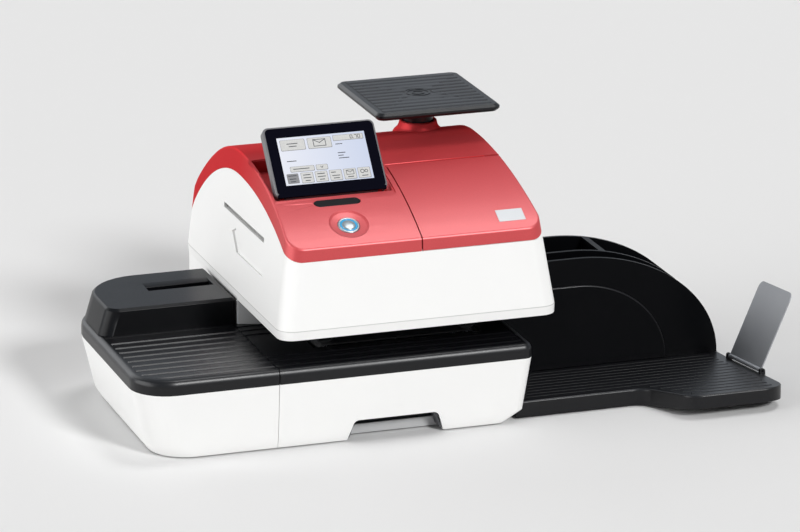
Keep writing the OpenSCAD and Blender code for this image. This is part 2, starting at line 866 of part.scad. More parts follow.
module top_cover() {
    color(red) place() difference() {
        union() {
            difference() {
                red_shell();
                translate([lid_seam_x - cover_gap / 2, 0, hood_z])
                    cube([hood_w, lid_hinge_y + lid_lap * bead_r, sky_z]);
                // Rolled edge of the lid turns inside the rear cover's lip
                bar_x(bead_r + clear, lid_seam_x - cover_gap / 2, hood_right, lid_hinge_y, lid_hinge_z);
            }
            intersection() {
                along_x(hood_left, hood_right) cover_side(tuck);
                union() {
                    in_recess() translate([well_x0 - well_wall, well_front - well_wall, -well_depth - well_wall])
                        cube([well_x1 - well_x0 + 2 * well_wall, well_back - well_front + 2 * well_wall,
                            well_depth + well_wall + 2]);
                    on_cover(button_x, button_y) translate([0, 0, -boss_depth])
                        cylinder(d = dish_d + 4, h = boss_depth - 1);
                    on_cover(button_x, button_y) for (s = [-1, 1])
                        translate([s * (board_l / 2 - post_r), 0, -boss_depth - post_l])
                            cylinder(r = post_r, h = post_l + 1);
                    on_cover(key_x, key_y) translate([0, 0, -key_h])
                        linear_extrude(key_h - 1) stadium(key_l + 2 * key_boss, key_w + key_boss);
                    // Lugs for the lid's pin: one beside the well, one under the rear edge
                    bar_x(eye_r, well_x1 + 1, lid_seam_x - cover_gap / 2, lid_hinge_y, lid_hinge_z);
                    bar_x(eye_r, eye_x, eye_x + eye_w, lid_hinge_y, lid_hinge_z);
                    translate([eye_x, lid_hinge_y, lid_hinge_z - 0.9 * eye_r])
                        cube([eye_w, 3 * bead_r, 0.8 * eye_r]);
                    translate([eye_x + 0.3, lid_hinge_y + bead_r + 3, lid_hinge_z - 0.8 * eye_r])
                        cube([eye_w - 0.6, 2 * bead_r - 4, 2 * bead_r + 2]);
                }
            }
            collar();
        }
        // Shallow field round the display
        difference() {
            translate([0, 0, hood_z]) linear_extrude(sky_z)
                polygon(plan(recess_x0, recess_y0, recess_x1, recess_y1, [for (i = [0:3]) recess_r]));
            along_x(hood_left, hood_right) cover_side(recess_depth);
        }
        difference() {
            in_recess() translate([well_x0, well_front, -well_depth])
                cube([well_x1 - well_x0, well_back - well_front, 3 * well_depth]);
            for (x = [display_x + lug_in, display_x + display_w - lug_in - lug_w])
                translate([x, display_hinge[0], display_hinge[1]]) {
                    rotate([0, 90, 0]) cylinder(r = lug_r, h = lug_w);
                    rotate([recess_tilt, 0, 0]) translate([0.3, -0.8 * lug_r, -2 * well_depth])
                        cube([lug_w - 0.6, 1.6 * lug_r, 2 * well_depth - 0.7 * lug_r]);
                }
        }
        bar_x(display_pin_d / 2 + run_fit, display_x, display_x + display_w, display_hinge[0], display_hinge[1]);
        bar_x(lid_pin_d / 2 + run_fit, well_x1 + 2, eye_x + eye_w + past, lid_hinge_y, lid_hinge_z);
        on_cover(button_x, button_y) {
            translate([0, 0, dish_r - dish_depth]) sphere(r = dish_r, $fn = 128);
            translate([0, 0, -2 * boss_depth]) cylinder(d = button_d + 2 * key_fit, h = 3 * boss_depth);
        }
        on_cover(key_x, key_y) translate([0, 0, -2 * key_h])
            linear_extrude(4 * key_h) stadium(key_l + 2 * key_fit, key_w + 2 * key_fit);
        translate([pan_x, pan_y, crown_z - 30]) cylinder(d = stem_d + 2 * clear, h = 60);
    }
}

module cartridge_lid() {
    color(red) place() difference() {
        union() {
            intersection() {
                red_shell();
                translate([lid_edge, 0, hood_z]) cube([hood_w, lid_hinge_y, sky_z]);
            }
            bar_x(bead_r, lid_edge, eye_x - clear, lid_hinge_y, lid_hinge_z);
        }
        bar_x(lid_pin_d / 2 + snug, lid_edge - past, eye_x, lid_hinge_y, lid_hinge_z);
        // Room for the lug at the right end of the rolled edge
        bar_x(eye_r + clear, eye_x - clear, eye_x + eye_w + clear, lid_hinge_y, lid_hinge_z);
        along_x(lid_edge - past, hood_right + past) panel_side(cover_gap);
        on_cover(badge_x, badge_y) translate([-badge_w / 2 - snug, -badge_d / 2 - snug, -badge_sunk])
            cube([badge_w + 2 * snug, badge_d + 2 * snug, 2 * badge_sunk]);
    }
}

module lid_hinge_pin() {
    color(steel) place()
        bar_x(lid_pin_d / 2, well_x1 + 2.5, eye_x + eye_w, lid_hinge_y, lid_hinge_z);
}

badge_x = hood_right - 46;
badge_y = 32;
badge_sunk = 0.8;

module badge_plate() {
    color("#c9cbcd") place() on_cover(badge_x, badge_y) translate([-badge_w / 2, -badge_d / 2, -badge_sunk])
        cube([badge_w, badge_d, badge_sunk + 0.3]);
}

// Display

bezel_in = 2;
bezel_t = 1.2;
display_r = 6;
back_step = 2;

// Frame of the display: X along its hinge, Y up its face, Z out of its face
module on_display() {
    translate([display_x, display_hinge[0], display_hinge[1]]) rotate([display_tilt, 0, 0]) children();
}

function display_outline(inset) = plan(
    inset, inset - display_edge, display_w - inset, display_h - display_edge - inset,
    [for (i = [0:3]) display_r - inset / 2]
);

module screen_shape(grow) {
    translate([(display_w - screen_w) / 2 - grow, screen_up - display_edge - grow])
        square([screen_w + 2 * grow, screen_h + 2 * grow]);
}

module display_housing() {
    color("#4a4c50") place() on_display() difference() {
        union() {
            translate([0, 0, -display_t / 2]) linear_extrude(display_t) polygon(display_outline(back_step));
            translate([0, 0, back_step - display_t / 2]) linear_extrude(display_t - back_step)
                polygon(display_outline(0));
        }
        translate([0, 0, display_t / 2 - bezel_t]) linear_extrude(2 * bezel_t) polygon(display_outline(bezel_in));
        // Room for the lugs, closed towards the face
        for (x = [lug_in, display_w - lug_in - lug_w])
            translate([x - clear, -2 * display_edge, -display_t])
                cube([lug_w + 2 * clear, 2 * display_edge + lug_r + clear, display_t + lug_r + clear]);
        bar_x(display_pin_d / 2 + snug, 1, display_w - 1, 0, 0);
    }
}

module display_bezel() {
    color("#101116") place() on_display() translate([0, 0, display_t / 2 - bezel_t])
        linear_extrude(bezel_t) difference() {
            polygon(display_outline(bezel_in + snug));
            screen_shape(snug);
        }
}

module display_screen() {
    color("#cfdcf0") place() on_display() translate([0, 0, display_t / 2 - bezel_t])
        linear_extrude(bezel_t - 0.2) screen_shape(0);
}

module display_hinge_pin() {
    color(steel) place() bar_x(
        display_pin_d / 2, display_x + 1.5, display_x + display_w - 1.5, display_hinge[0], display_hinge[1]
    );
}

// Keys

module release_key() {
    color(black) place() on_cover(key_x, key_y) translate([0, 0, -key_h])
        linear_extrude(key_h - 0.3) stadium(key_l, key_w);
}

ring_r = 8.2;
ring_w = 2;
ring_t = 1;

module power_button() {
    color("#d5d8da") place() on_cover(button_x, button_y) translate([0, 0, button_proud - dish_depth]) difference() {
        translate([0, 0, -button_h]) cylinder(d = button_d, h = button_h);
        translate([0, 0, -ring_t]) difference() {
            cylinder(r = ring_r + ring_w / 2 + snug, h = 2 * ring_t);
            translate([0, 0, -past]) cylinder(r = ring_r - ring_w / 2 - snug, h = 4 * ring_t);
        }
    }
}

module button_light_ring() {
    color("#3fb4ea") place() on_cover(button_x, button_y) translate([0, 0, button_proud - dish_depth - ring_t])
        difference() {
            cylinder(r = ring_r + ring_w / 2, h = ring_t);
            translate([0, 0, -past]) cylinder(r = ring_r - ring_w / 2, h = 4 * ring_t);
        }
}

module button_board() {
    switch_w = 6;
    board_top = -boss_depth - post_l;
    switch_top = button_proud - dish_depth - button_h - button_travel - clear;
    color("#2f6b45") place() on_cover(button_x, button_y) {
        translate([-board_l / 2, -7, board_top - board_t]) cube([board_l, 14, board_t]);
        translate([-switch_w / 2, -switch_w / 2, board_top]) cube([switch_w, switch_w, switch_top - board_top]);
    }
}

// Scale

pan_r = 9;
pan_bevel = 3;
pan_wall = 3;
pan_ribs = 11;
pan_rib_h = 0.6;
ring_radii = [7, 13];
spindle_r = 6;
pan_travel = 1;
cell_h = 12;
cell_w = 12;
cell_l = 66;
cell_top = crown_z - 45;
post_w = 18;

function pan_outline(inset) = plan(
    pan_x - pan_w / 2 + inset, pan_y - pan_d / 2 + inset, pan_x + pan_w / 2 - inset, pan_y + pan_d / 2 - inset,
    [for (i = [0:3]) pan_r - inset / 2]
);

module weigh_pan() {
    top = pan_z - pan_rib_h;
    pitch = (pan_d - 4 * pan_bevel) / pan_ribs;
    color(black) place() {
        difference() {
            hull() {
                slab(pan_outline(pan_bevel), top - pan_t);
                slab(pan_outline(0), top - pan_t + pan_bevel);
                slab(pan_outline(0), top - pan_bevel);
                slab(pan_outline(pan_bevel), top - skin);
            }
            translate([0, 0, top - pan_t - past]) linear_extrude(pan_t - pan_wall + past)
                polygon(pan_outline(pan_bevel + pan_wall));
            translate([pan_x, pan_y, top - pan_t]) cylinder(r = spindle_r + snug, h = pan_t - pan_wall / 2);
        }
        difference() {
            for (i = [0:pan_ribs - 1])
                rib(pan_x - pan_w / 2 + 3 * pan_bevel, pan_x + pan_w / 2 - 3 * pan_bevel,
                    pan_y + (i - (pan_ribs - 1) / 2) * pitch, top, pitch * 0.72, pan_rib_h);
            translate([pan_x, pan_y, top - past]) cylinder(r = max(ring_radii) + 2, h = 2 * past);
        }
        for (r = ring_radii) translate([pan_x, pan_y, top - past / 2]) difference() {
            cylinder(r = r, h = past / 2 + pan_rib_h);
            translate([0, 0, -past]) cylinder(r = r - 1.6, h = 3 * past);
        }
    }
}

module pan_stem() {
    under = pan_z - pan_rib_h - pan_wall;
    color("#1c1d20") place() translate([pan_x, pan_y, 0]) {
        translate([0, 0, crown_z - 4]) cylinder(d = stem_d, h = under - crown_z + 4);
        translate([0, 0, cell_top + pan_travel + clear])
            cylinder(r = spindle_r, h = under + pan_wall / 4 - cell_top - pan_travel - clear);
    }
}

cell_tip = 15;

module load_cell() {
    hole_r = 4;
    color("#c6c9cc") place() difference() {
        translate([pan_x - cell_l + cell_tip, pan_y - cell_w / 2, cell_top - cell_h]) cube([cell_l, cell_w, cell_h]);
        for (s = [-1, 1])
            bar_y(hole_r, pan_y - cell_w, pan_y + cell_w, pan_x - cell_l / 2 + cell_tip + s * hole_r * 1.3,
                cell_top - cell_h / 2);
    }
}

module load_cell_post() {
    color("#2b2c30") place() translate([pan_x - cell_l + cell_tip - post_w / 4, pan_y - post_w / 2, floor_top_z])
        cube([post_w, post_w, cell_top - cell_h - floor_top_z]);
}

// Catch tray

wall_y = guide_y + 3;
panel_proud = 2;
tray_foot_z = foot_h + 1.5;
tray_back = wall_y + 3 * fin_t + groove_w + pocket_w;
wall_x0 = base_w + 1.5;
tall_x0 = hood_right + 3;
low_top = hood_z - 3;
wall_c = tray_x1 - tray_round;
tray_edge = 9;
divider_x = wall_c + 41;

// Frame on the tray's floor: Z square to it, Y along its fall, starting at the wall's foot
module on_tray() {
    translate([0, wall_y, tray_foot_z]) rotate([-tray_fall, 0, 0]) children();
}

// Plan of the tray, with the step where its right part juts forward
function tray_outline(inset) = rounded(
    [
        [tray_x0 + inset, tray_back - inset], [tray_x0 + inset, tray_front + inset],
        [tray_x1 - jut_l - 31 + inset / 2, tray_front + inset], [tray_x1 - jut_l + inset / 2, reach_front + inset],
        [tray_x1 - inset, reach_front + inset], [tray_x1 - inset, tray_back - inset]
    ],
    [3, 3, 20, 22 - inset, 26 - inset, 3]
);

module catch_tray() {
    slope = tan(tray_fall);
    lift_y = tray_front - 9;
    front_z = tray_foot_z + slope * (wall_y - reach_front);
    ear_w = 4;
    stop_from = -(stop_w + 42);
    color(black) place() difference() {
        union() {
            difference() {
                intersection() {
                    translate([0, 0, foot_h]) linear_extrude(housing_h) polygon(tray_outline(0));
                    along_x(tray_x0 - past, tray_x1 + past) polygon([
                        [tray_back + past, foot_h], [tray_back + past, tray_foot_z], [wall_y, tray_foot_z],
                        [reach_front - past, front_z + slope * past], [reach_front - past, front_z - 15],
                        [lift_y, foot_h]
                    ]);
                }
                // Left end follows the base's leaning side
                along_y(0, tray_back + past) polygon([
                    [0, 0], [base_right(foot_h) + clear, 0], [base_right(foot_h) + clear, foot_h],
                    [base_right(toe_z) + clear, toe_z], [base_w + clear, housing_h], [0, housing_h]
                ]);
            }
            intersection() {
                translate([0, 0, foot_h]) linear_extrude(housing_h) polygon(tray_outline(tray_edge));
                on_tray() for (i = [1:14]) rib(tray_x0, tray_x1 - 14, -i * rib_pitch * 0.86, 0, rib_w, rib_h * 0.8);
            }
            // Ears that carry the stop plate's pin
            on_tray() for (y = [stop_from - ear_w - clear, stop_from + stop_w + clear])
                translate([stop_x, y, 0]) {
                    translate([-3, 0, -1]) cube([6, ear_w, stop_axis_up + 1]);
                    bar_y(3, 0, ear_w, 0, stop_axis_up);
                }
            for (y = hook_ys) translate([base_right(hook_z) - 2 * wall, y - hook_w / 2, hook_z - hook_h / 2])
                cube([tray_x0 - base_right(hook_z) + 3 * wall, hook_w, hook_h]);
        }
        on_tray() bar_y(stop_pin_d / 2 + run_fit, stop_from - ear_w - 1, stop_from + stop_w + ear_w + 1,
            stop_x, stop_axis_up);
    }
}

// Side of the wall box, drawn in (X, Z): a level top that rounds down to the tray's end
module wall_shape(inset) {
    n = 28;
    polygon(concat(
        [[wall_x0, tray_foot_z], [wall_x0, low_top], [tall_x0, low_top], [tall_x0, tray_foot_z + tray_wall_h - inset]],
        [for (i = [0:n]) [
            wall_c + (tray_round - inset) * sin(90 * i / n), tray_foot_z + (tray_wall_h - inset) * cos(90 * i / n)
        ]]
    ));
}

module tray_wall() {
    pocket_y = wall_y + 2 * fin_t + groove_w;
    pad = 60;
    color(black) place() {
        difference() {
            along_y(wall_y, tray_back) wall_shape(0);
            translate([wall_x0 + fin_t, wall_y + fin_t, tray_foot_z + fin_t])
                cube([tray_x1 - wall_x0 - 30, groove_w, tray_wall_h]);
            translate([wall_x0 + fin_t, pocket_y, tray_foot_z + fin_t])
                cube([divider_x - wall_x0 - 2 * fin_t, pocket_w, tray_wall_h]);
            translate([divider_x + fin_t, pocket_y, tray_foot_z + fin_t])
                cube([tray_x1 - divider_x - 45, pocket_w, tray_wall_h]);
        }
        // Raised pad on the wall's face, with the same rounded end
        intersection() {
            along_y(wall_y - panel_proud, wall_y + past) intersection() {
                polygon(concat(
                    [[wall_x0, 0], [wall_x0, tray_foot_z + tray_wall_h - pad / 2]],
                    [for (i = [0:20]) [
                        wall_c + (tray_round - pad) * sin(4.5 * i),
                        tray_foot_z + (tray_wall_h - pad / 2) * cos(4.5 * i)
                    ]]
                ));
                translate([wall_x0, tray_foot_z + 1]) square([tray_l, low_top - tray_foot_z - 1]);
            }
            translate([wall_x0, 0, 0]) cube([tray_l, tray_back, sky_z]);
        }
    }
}

// Frame of the stop plate: Y along its hinge, Z up the plate
module on_stop() {
    on_tray() translate([stop_x, -(stop_w + 42), stop_axis_up]) rotate([0, stop_lean, 0]) children();
}

module stop_plate() {
    knuckle_r = 2.4;
    corner_r = 9;
    color(steel) place() on_stop() difference() {
        union() {
            translate([-stop_t / 2, 0, 0]) along_x(0, stop_t)
                polygon(plan(0, 0, stop_w, stop_h, [0, 0, corner_r, corner_r]));
            bar_y(knuckle_r, 0, stop_w, 0, 0);
        }
        bar_y(stop_pin_d / 2 + snug, -past, stop_w + past, 0, 0);
    }
}

module stop_hinge_pin() {
    color(steel) place() on_stop() bar_y(stop_pin_d / 2, -4, stop_w + 4, 0, 0);
}

// Mail transport

bearing_t = 3;
frame_gap = 4;
frame_y0 = belt_y - frame_gap - bearing_t;
frame_y1 = belt_y + belt_w + frame_gap;
frame_top = deck_z - deck_t;
frame_low = roller_z - 15;
shaft_y0 = frame_y0 - 2;
gear_y = column_front + wall + 3;
gear_t = 6;

module belt_frame() {
    tie_w = 10;
    color(steel) place() {
        difference() {
            for (y = [frame_y0, frame_y1])
                translate([idler_x - 12, y, frame_low])
                    cube([drive_x - idler_x + 24, bearing_t, frame_top - frame_low]);
            for (x = [idler_x, drive_x])
                bar_y(shaft_d / 2 + run_fit, frame_y0 - past, frame_y1 + bearing_t + past, x, roller_z);
        }
        translate([(idler_x + drive_x - tie_w) / 2, frame_y0, roller_z - 4])
            cube([tie_w, frame_y1 - frame_y0 + bearing_t, 8]);
    }
}

module roller(x, y1) {
    bar_y(roller_d / 2, belt_y - 1, belt_y + belt_w + 1, x, roller_z);
    bar_y(shaft_d / 2, shaft_y0, y1, x, roller_z);
}

module drive_roller() {
    color("#55575b") place() roller(drive_x, gear_y + gear_t + 1);
}

module idler_roller() {
    color("#55575b") place() roller(idler_x, frame_y1 + bearing_t + 2);
}

module belt_loop(r) {
    for (x = [idler_x, drive_x]) translate([x, roller_z]) circle(r = r);
    translate([idler_x, roller_z - r]) square([drive_x - idler_x, 2 * r]);
}

module transport_belt() {
    color("#1a1a1c") place() along_y(belt_y, belt_y + belt_w) difference() {
        belt_loop(belt_r);
        belt_loop(belt_r - belt_t);
    }
}

// Involute gear outline; the tooth's half angle narrows with the radius
backlash = 0.3;
pressure_angle = 20;
addendum = 0.85;
dedendum = 1.2;
function involute(a) = tan(a) * 180 / PI - a;
function half_tooth(teeth, r) =
    let (pitch_r = gear_m * teeth / 2, base_r = pitch_r * cos(pressure_angle))
    90 / teeth - backlash / pitch_r * 45 / PI + involute(pressure_angle) - involute(acos(min(1, base_r / r)));

function gear_outline(teeth, turn) =
    let (
        pitch_r = gear_m * teeth / 2,
        base_r = pitch_r * cos(pressure_angle),
        root_r = pitch_r - dedendum * gear_m,
        tip_r = pitch_r + addendum * gear_m,
        foot_r = max(base_r, root_r + 0.05),
        n = 4
    )
    [for (i = [0:teeth - 1])
        let (mid = turn + 360 * i / teeth)
        for (s = [-1, 1])
            for (j = [0:n + 1])
                let (
                    k = s < 0 ? j : n + 1 - j,
                    r = k == 0 ? root_r : foot_r + (tip_r - foot_r) * (k - 1) / n,
                    a = mid + s * half_tooth(teeth, max(r, foot_r))
                )
                r * [cos(a), sin(a)]
    ];

gear_centres = gear_m * (gear_teeth + pinion_teeth) / 2;
motor_z = roller_z - gear_centres;
pinion_bore_r = 2;

module gear(teeth, turn, x, z, bore_r) {
    translate([x, gear_y, z]) rotate([-90, 0, 0]) linear_extrude(gear_t) difference() {
        polygon(gear_outline(teeth, turn));
        circle(r = bore_r);
    }
}

// Seen along -Y the axes turn over, so a tooth of the gear points down at 90 degrees
module drive_gear() {
    color("#e4e1d6") place() gear(gear_teeth, 90, drive_x, roller_z, shaft_d / 2 + snug);
}

module motor_pinion() {
    gap_turn = 180 / pinion_teeth;
    color("#c9a94f") place() {
        gear(pinion_teeth, -90 + gap_turn, drive_x, motor_z, pinion_bore_r + snug);
        bar_y(pinion_bore_r, gear_y - 1, motor_y + 12, drive_x, motor_z);
    }
}

bracket_t = 2;
motor_y = gear_y + gear_t + 3 + bracket_t;

module motor_bracket() {
    bracket_w = motor_d + 8;
    color(steel) place() difference() {
        union() {
            translate([drive_x - bracket_w / 2, motor_y - bracket_t, pan_plate_top])
                cube([bracket_w, bracket_t, motor_z + motor_d / 2 + 2 - pan_plate_top]);
            translate([drive_x - bracket_w / 2, motor_y - bracket_t, pan_plate_top]) cube([bracket_w, 24, bracket_t]);
        }
        bar_y(pinion_bore_r + 3, motor_y - 2 * bracket_t, motor_y + past, drive_x, motor_z);
    }
}

module drive_motor() {
    color("#8d9094") place() difference() {
        union() {
            bar_y(motor_d / 2, motor_y, motor_y + motor_l, drive_x, motor_z);
            bar_y(pinion_bore_r + 2.5, motor_y - bracket_t, motor_y, drive_x, motor_z);
        }
        bar_y(pinion_bore_r + run_fit, motor_y - 2 * bracket_t, motor_y + 12 + 2, drive_x, motor_z);
    }
}

press_gap = 0.5;
press_z = deck_z + belt_rise + press_gap + press_d / 2;
axle_r = 2.5;
hanger_t = 3;
hanger_w = 18;
hanger_y0 = frame_y0 + 3;
hanger_y1 = frame_y1 - 3;

module press_roller(x) {
    bar_y(press_d / 2, hanger_y0 + hanger_t + 3, hanger_y1 - 3, x, press_z);
    bar_y(axle_r, hanger_y0 - 1, hanger_y1 + hanger_t + 1, x, press_z);
}

module entry_pressure_roller() {
    color("#3b3c40") place() press_roller(idler_x);
}

module exit_pressure_roller() {
    color("#3b3c40") place() press_roller(drive_x);
}

module roller_hangers() {
    foot = press_z - axle_r - 3;
    color(steel) place() for (x = [idler_x, drive_x]) {
        difference() {
            for (y = [hanger_y0, hanger_y1])
                translate([x - hanger_w / 2, y, foot]) cube([hanger_w, hanger_t, hood_z - foot]);
            bar_y(axle_r + run_fit, hanger_y0 - past, hanger_y1 + hanger_t + past, x, press_z);
        }
        translate([x - hanger_w / 2, hanger_y0, hood_z - 1.5]) cube([hanger_w, hanger_y1 - hanger_y0 + hanger_t, 1.5]);
    }
}

// Printing

cheek_t = 2;
cheek_h = 56;
cheek_back = 8;
cheek_front = 4;
tie_h = 40;
carriage_drop = 18;
bay_x0 = lid_seam_x + 4;
bay_x1 = print_x + carriage_w + carriage_travel + 3;
rod_rise = 34;
rod_front = 18;
rod_back = 12;
rod_lap = 9;
rod_z = floor_top_z + rod_rise;
rod_ys = [print_y - rod_front, print_y + print_w + rod_back];
carriage_y0 = rod_ys[0] - rod_lap;
carriage_y1 = rod_ys[1] + rod_lap;
carriage_low = rod_z - carriage_drop;
nose_z = floor_top_z + 2;

module carriage_frame() {
    color(steel) place() {
        difference() {
            for (x = [bay_x0, bay_x1])
                translate([x, carriage_y0 - cheek_front, floor_top_z])
                    cube([cheek_t, carriage_y1 - carriage_y0 + cheek_front + cheek_back, cheek_h]);
            for (y = rod_ys) bar_x(rod_d / 2 + snug, bay_x0 - past, bay_x1 + cheek_t + past, y, rod_z);
        }
        translate([bay_x0, carriage_y1 + cheek_back - cheek_t, floor_top_z])
            cube([bay_x1 - bay_x0 + cheek_t, cheek_t, tie_h]);
    }
}

module guide_rods() {
    color("#c9ccd0") place() for (y = rod_ys) bar_x(rod_d / 2, bay_x0, bay_x1 + cheek_t, y, rod_z);
}

cart_wall = 3;
cart_w = (carriage_w - 3 * cart_wall) / 2;
cart_y0 = rod_ys[0] + rod_d / 2 + 4;
cart_y1 = rod_ys[1] - rod_d / 2 - 4;
cart_low = carriage_low + 4;

module print_carriage() {
    color("#33353a") place() difference() {
        union() {
            translate([print_x, carriage_y0, carriage_low])
                cube([carriage_w, carriage_y1 - carriage_y0, rod_z + rod_d - carriage_low]);
            translate([print_x + 4, print_y + 3, nose_z]) cube([carriage_w - 8, print_w - 6, carriage_low - nose_z + 1]);
        }
        for (y = rod_ys) bar_x(rod_d / 2 + run_fit, print_x - past, print_x + carriage_w + past, y, rod_z);
        for (i = [0, 1])
            translate([print_x + cart_wall + i * (cart_w + cart_wall), cart_y0, cart_low])
                cube([cart_w, cart_y1 - cart_y0, 2 * rod_z]);
    }
}

module ink_cartridges() {
    tall = 46;
    color("#1f4f86") place() for (i = [0, 1])
        translate([print_x + cart_wall + i * (cart_w + cart_wall) + fit, cart_y0 + fit, cart_low]) {
            cube([cart_w - 2 * fit, cart_y1 - cart_y0 - 2 * fit, tall]);
            translate([cart_w / 2 - fit - 3, 2, tall]) cube([6, 5, 9]);
        }
}

module service_station() {
    color("#5a5c60") place() difference() {
        translate([station_x + fit, print_y + fit, hood_z + 0.5])
            cube([station_w - 2 * fit, print_w - 2 * fit, hood_floor_t + 0.5]);
        translate([station_x + 5, print_y + 5, hood_z + 2]) cube([station_w - 10, print_w - 10, hood_floor_t]);
    }
}

// Electrics

electrics_x = 30;
board_w = 150;
board_d = 120;
board_back = 40;
standoff = 6;
standoff_d = 6;
supply_w = 120;
supply_d = 90;
supply_h = 36;
supply_y = 60;

module main_board() {
    color("#2f6b45") place() translate([electrics_x, base_depth - board_back - board_d, pan_plate_top]) {
        for (x = [standoff_d, board_w - standoff_d], y = [standoff_d, board_d - standoff_d])
            translate([x, y, 0]) cylinder(d = standoff_d, h = standoff);
        translate([0, 0, standoff]) cube([board_w, board_d, board_t]);
        translate([board_w / 5, board_d / 3, standoff + board_t]) cube([board_w / 4, board_w / 4, 2 * board_t]);
        translate([0.6 * board_w, board_d / 6, standoff + board_t]) cube([board_w / 12, board_d / 2, 6 * board_t]);
    }
}

module power_supply() {
    color("#8f9296") place() translate([electrics_x, supply_y, pan_plate_top]) cube([supply_w, supply_d, supply_h]);
}

module power_inlet() {
    depth = 22;
    flange = 3;
    color("#1b1b1d") place() difference() {
        union() {
            translate([inlet_x - inlet_w / 2, base_depth - depth, inlet_z - inlet_h / 2])
                cube([inlet_w, depth, inlet_h]);
            translate([inlet_x - inlet_w / 2 - flange, base_depth, inlet_z - inlet_h / 2 - flange])
                cube([inlet_w + 2 * flange, 1.5, inlet_h + 2 * flange]);
        }
        translate([inlet_x - inlet_w / 2 + 3, base_depth - depth + 5, inlet_z - inlet_h / 2 + 3])
            cube([inlet_w - 6, depth, inlet_h - 6]);
    }
}

feed_housing();
feed_deck();
strip_block();
base_housing();
base_deck();
bottom_pan();
grip_liner();
rubber_feet();
base_screws();
rear_column();
mail_guide();
hood_shell();
hood_floor();
strip_chute();
top_cover();
cartridge_lid();
lid_hinge_pin();
badge_plate();
display_housing();
display_bezel();
display_screen();
display_hinge_pin();
release_key();
power_button();
button_light_ring();
button_board();
weigh_pan();
pan_stem();
load_cell();
load_cell_post();
catch_tray();
tray_wall();
stop_plate();
stop_hinge_pin();
belt_frame();
drive_roller();
idler_roller();
transport_belt();
drive_gear();
motor_pinion();
drive_motor();
motor_bracket();
entry_pressure_roller();
exit_pressure_roller();
roller_hangers();
carriage_frame();
guide_rods();
print_carriage();
ink_cartridges();
service_station();
main_board();
power_supply();
power_inlet();
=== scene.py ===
import bpy
import bmesh
import json
import math
from mathutils import Matrix, Vector


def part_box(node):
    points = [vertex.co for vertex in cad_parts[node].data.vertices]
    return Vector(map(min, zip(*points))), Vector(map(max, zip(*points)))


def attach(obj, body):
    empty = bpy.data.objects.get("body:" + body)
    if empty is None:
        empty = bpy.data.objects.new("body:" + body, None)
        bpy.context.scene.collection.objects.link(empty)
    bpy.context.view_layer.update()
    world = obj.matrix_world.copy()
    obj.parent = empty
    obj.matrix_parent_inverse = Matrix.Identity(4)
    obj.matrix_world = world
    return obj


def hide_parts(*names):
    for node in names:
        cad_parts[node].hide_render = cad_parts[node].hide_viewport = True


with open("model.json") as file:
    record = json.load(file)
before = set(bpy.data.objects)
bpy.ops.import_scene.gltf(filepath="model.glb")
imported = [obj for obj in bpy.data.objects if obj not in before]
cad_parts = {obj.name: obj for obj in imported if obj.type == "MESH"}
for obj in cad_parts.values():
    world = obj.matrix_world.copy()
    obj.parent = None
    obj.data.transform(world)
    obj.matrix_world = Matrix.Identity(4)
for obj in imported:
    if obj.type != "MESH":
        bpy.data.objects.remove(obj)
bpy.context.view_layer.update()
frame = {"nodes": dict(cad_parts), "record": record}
nodes = frame["nodes"]
bodyOf = {n: b for b, ns in frame["record"]["behaviour"]["bodies"].items() for n in ns}
slotOf = {p["node"]: p["material_slot"] for p in frame["record"]["subparts"]}
scene = bpy.context.scene
scene.view_settings.view_transform = "Standard"

# Machine millimetres to the shared frame and back: x from the module seam, y from the base's front
metre = 1000
seamHalf = 0.2
midX = -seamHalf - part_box("feed_deck")[1].x * metre
midY = -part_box("base_deck")[0].y * metre


def toFrame(x, y, z):
    return Vector(((x - midX) / metre, (y - midY) / metre, z / metre))


def toMachine(co):
    return co.x * metre + midX, co.y * metre + midY, co.z * metre


def addObject(name, data):
    o = bpy.data.objects.new(name, data)
    scene.collection.objects.link(o)
    return o


# Camera at the photograph's angle; focal length and width in its pixels
shot = dict(at=(-1393.5, -4485.3, 1643.1), look=(0.30723, 0.90507, -0.29404), focal=4868, wide=800,
            sensor=36, clip=50)
camData = bpy.data.cameras.new("photoCamera")
camData.sensor_width = shot["sensor"]
camData.lens = shot["sensor"] * shot["focal"] / shot["wide"]
camData.clip_end = shot["clip"]
cam = addObject("photoCamera", camData)
cam.location = toFrame(*shot["at"])
cam.rotation_euler = Vector(shot["look"]).to_track_quat("-Z", "Y").to_euler()
scene.camera = cam

# Soft suns light the floor evenly; each comes from the given direction
lamps = {
    "key": dict(come=(0.35, -1.0, 0.65), spread=12, power=2.25),
    "left": dict(come=(-1.0, 0.0, 0.15), spread=60, power=3.0),
    "top": dict(come=(0.30, 0.05, 0.95), spread=20, power=0.85),
    "rim": dict(come=(-0.36, 0.85, 0.40), spread=44, power=0.65),
}
for lampName, lamp in lamps.items():
    sun = bpy.data.lights.new(lampName, "SUN")
    sun.angle = math.radians(lamp["spread"])
    sun.energy = lamp["power"]
    sunObj = addObject(lampName, sun)
    sunObj.rotation_euler = (-Vector(lamp["come"])).to_track_quat("-Z", "Y").to_euler()

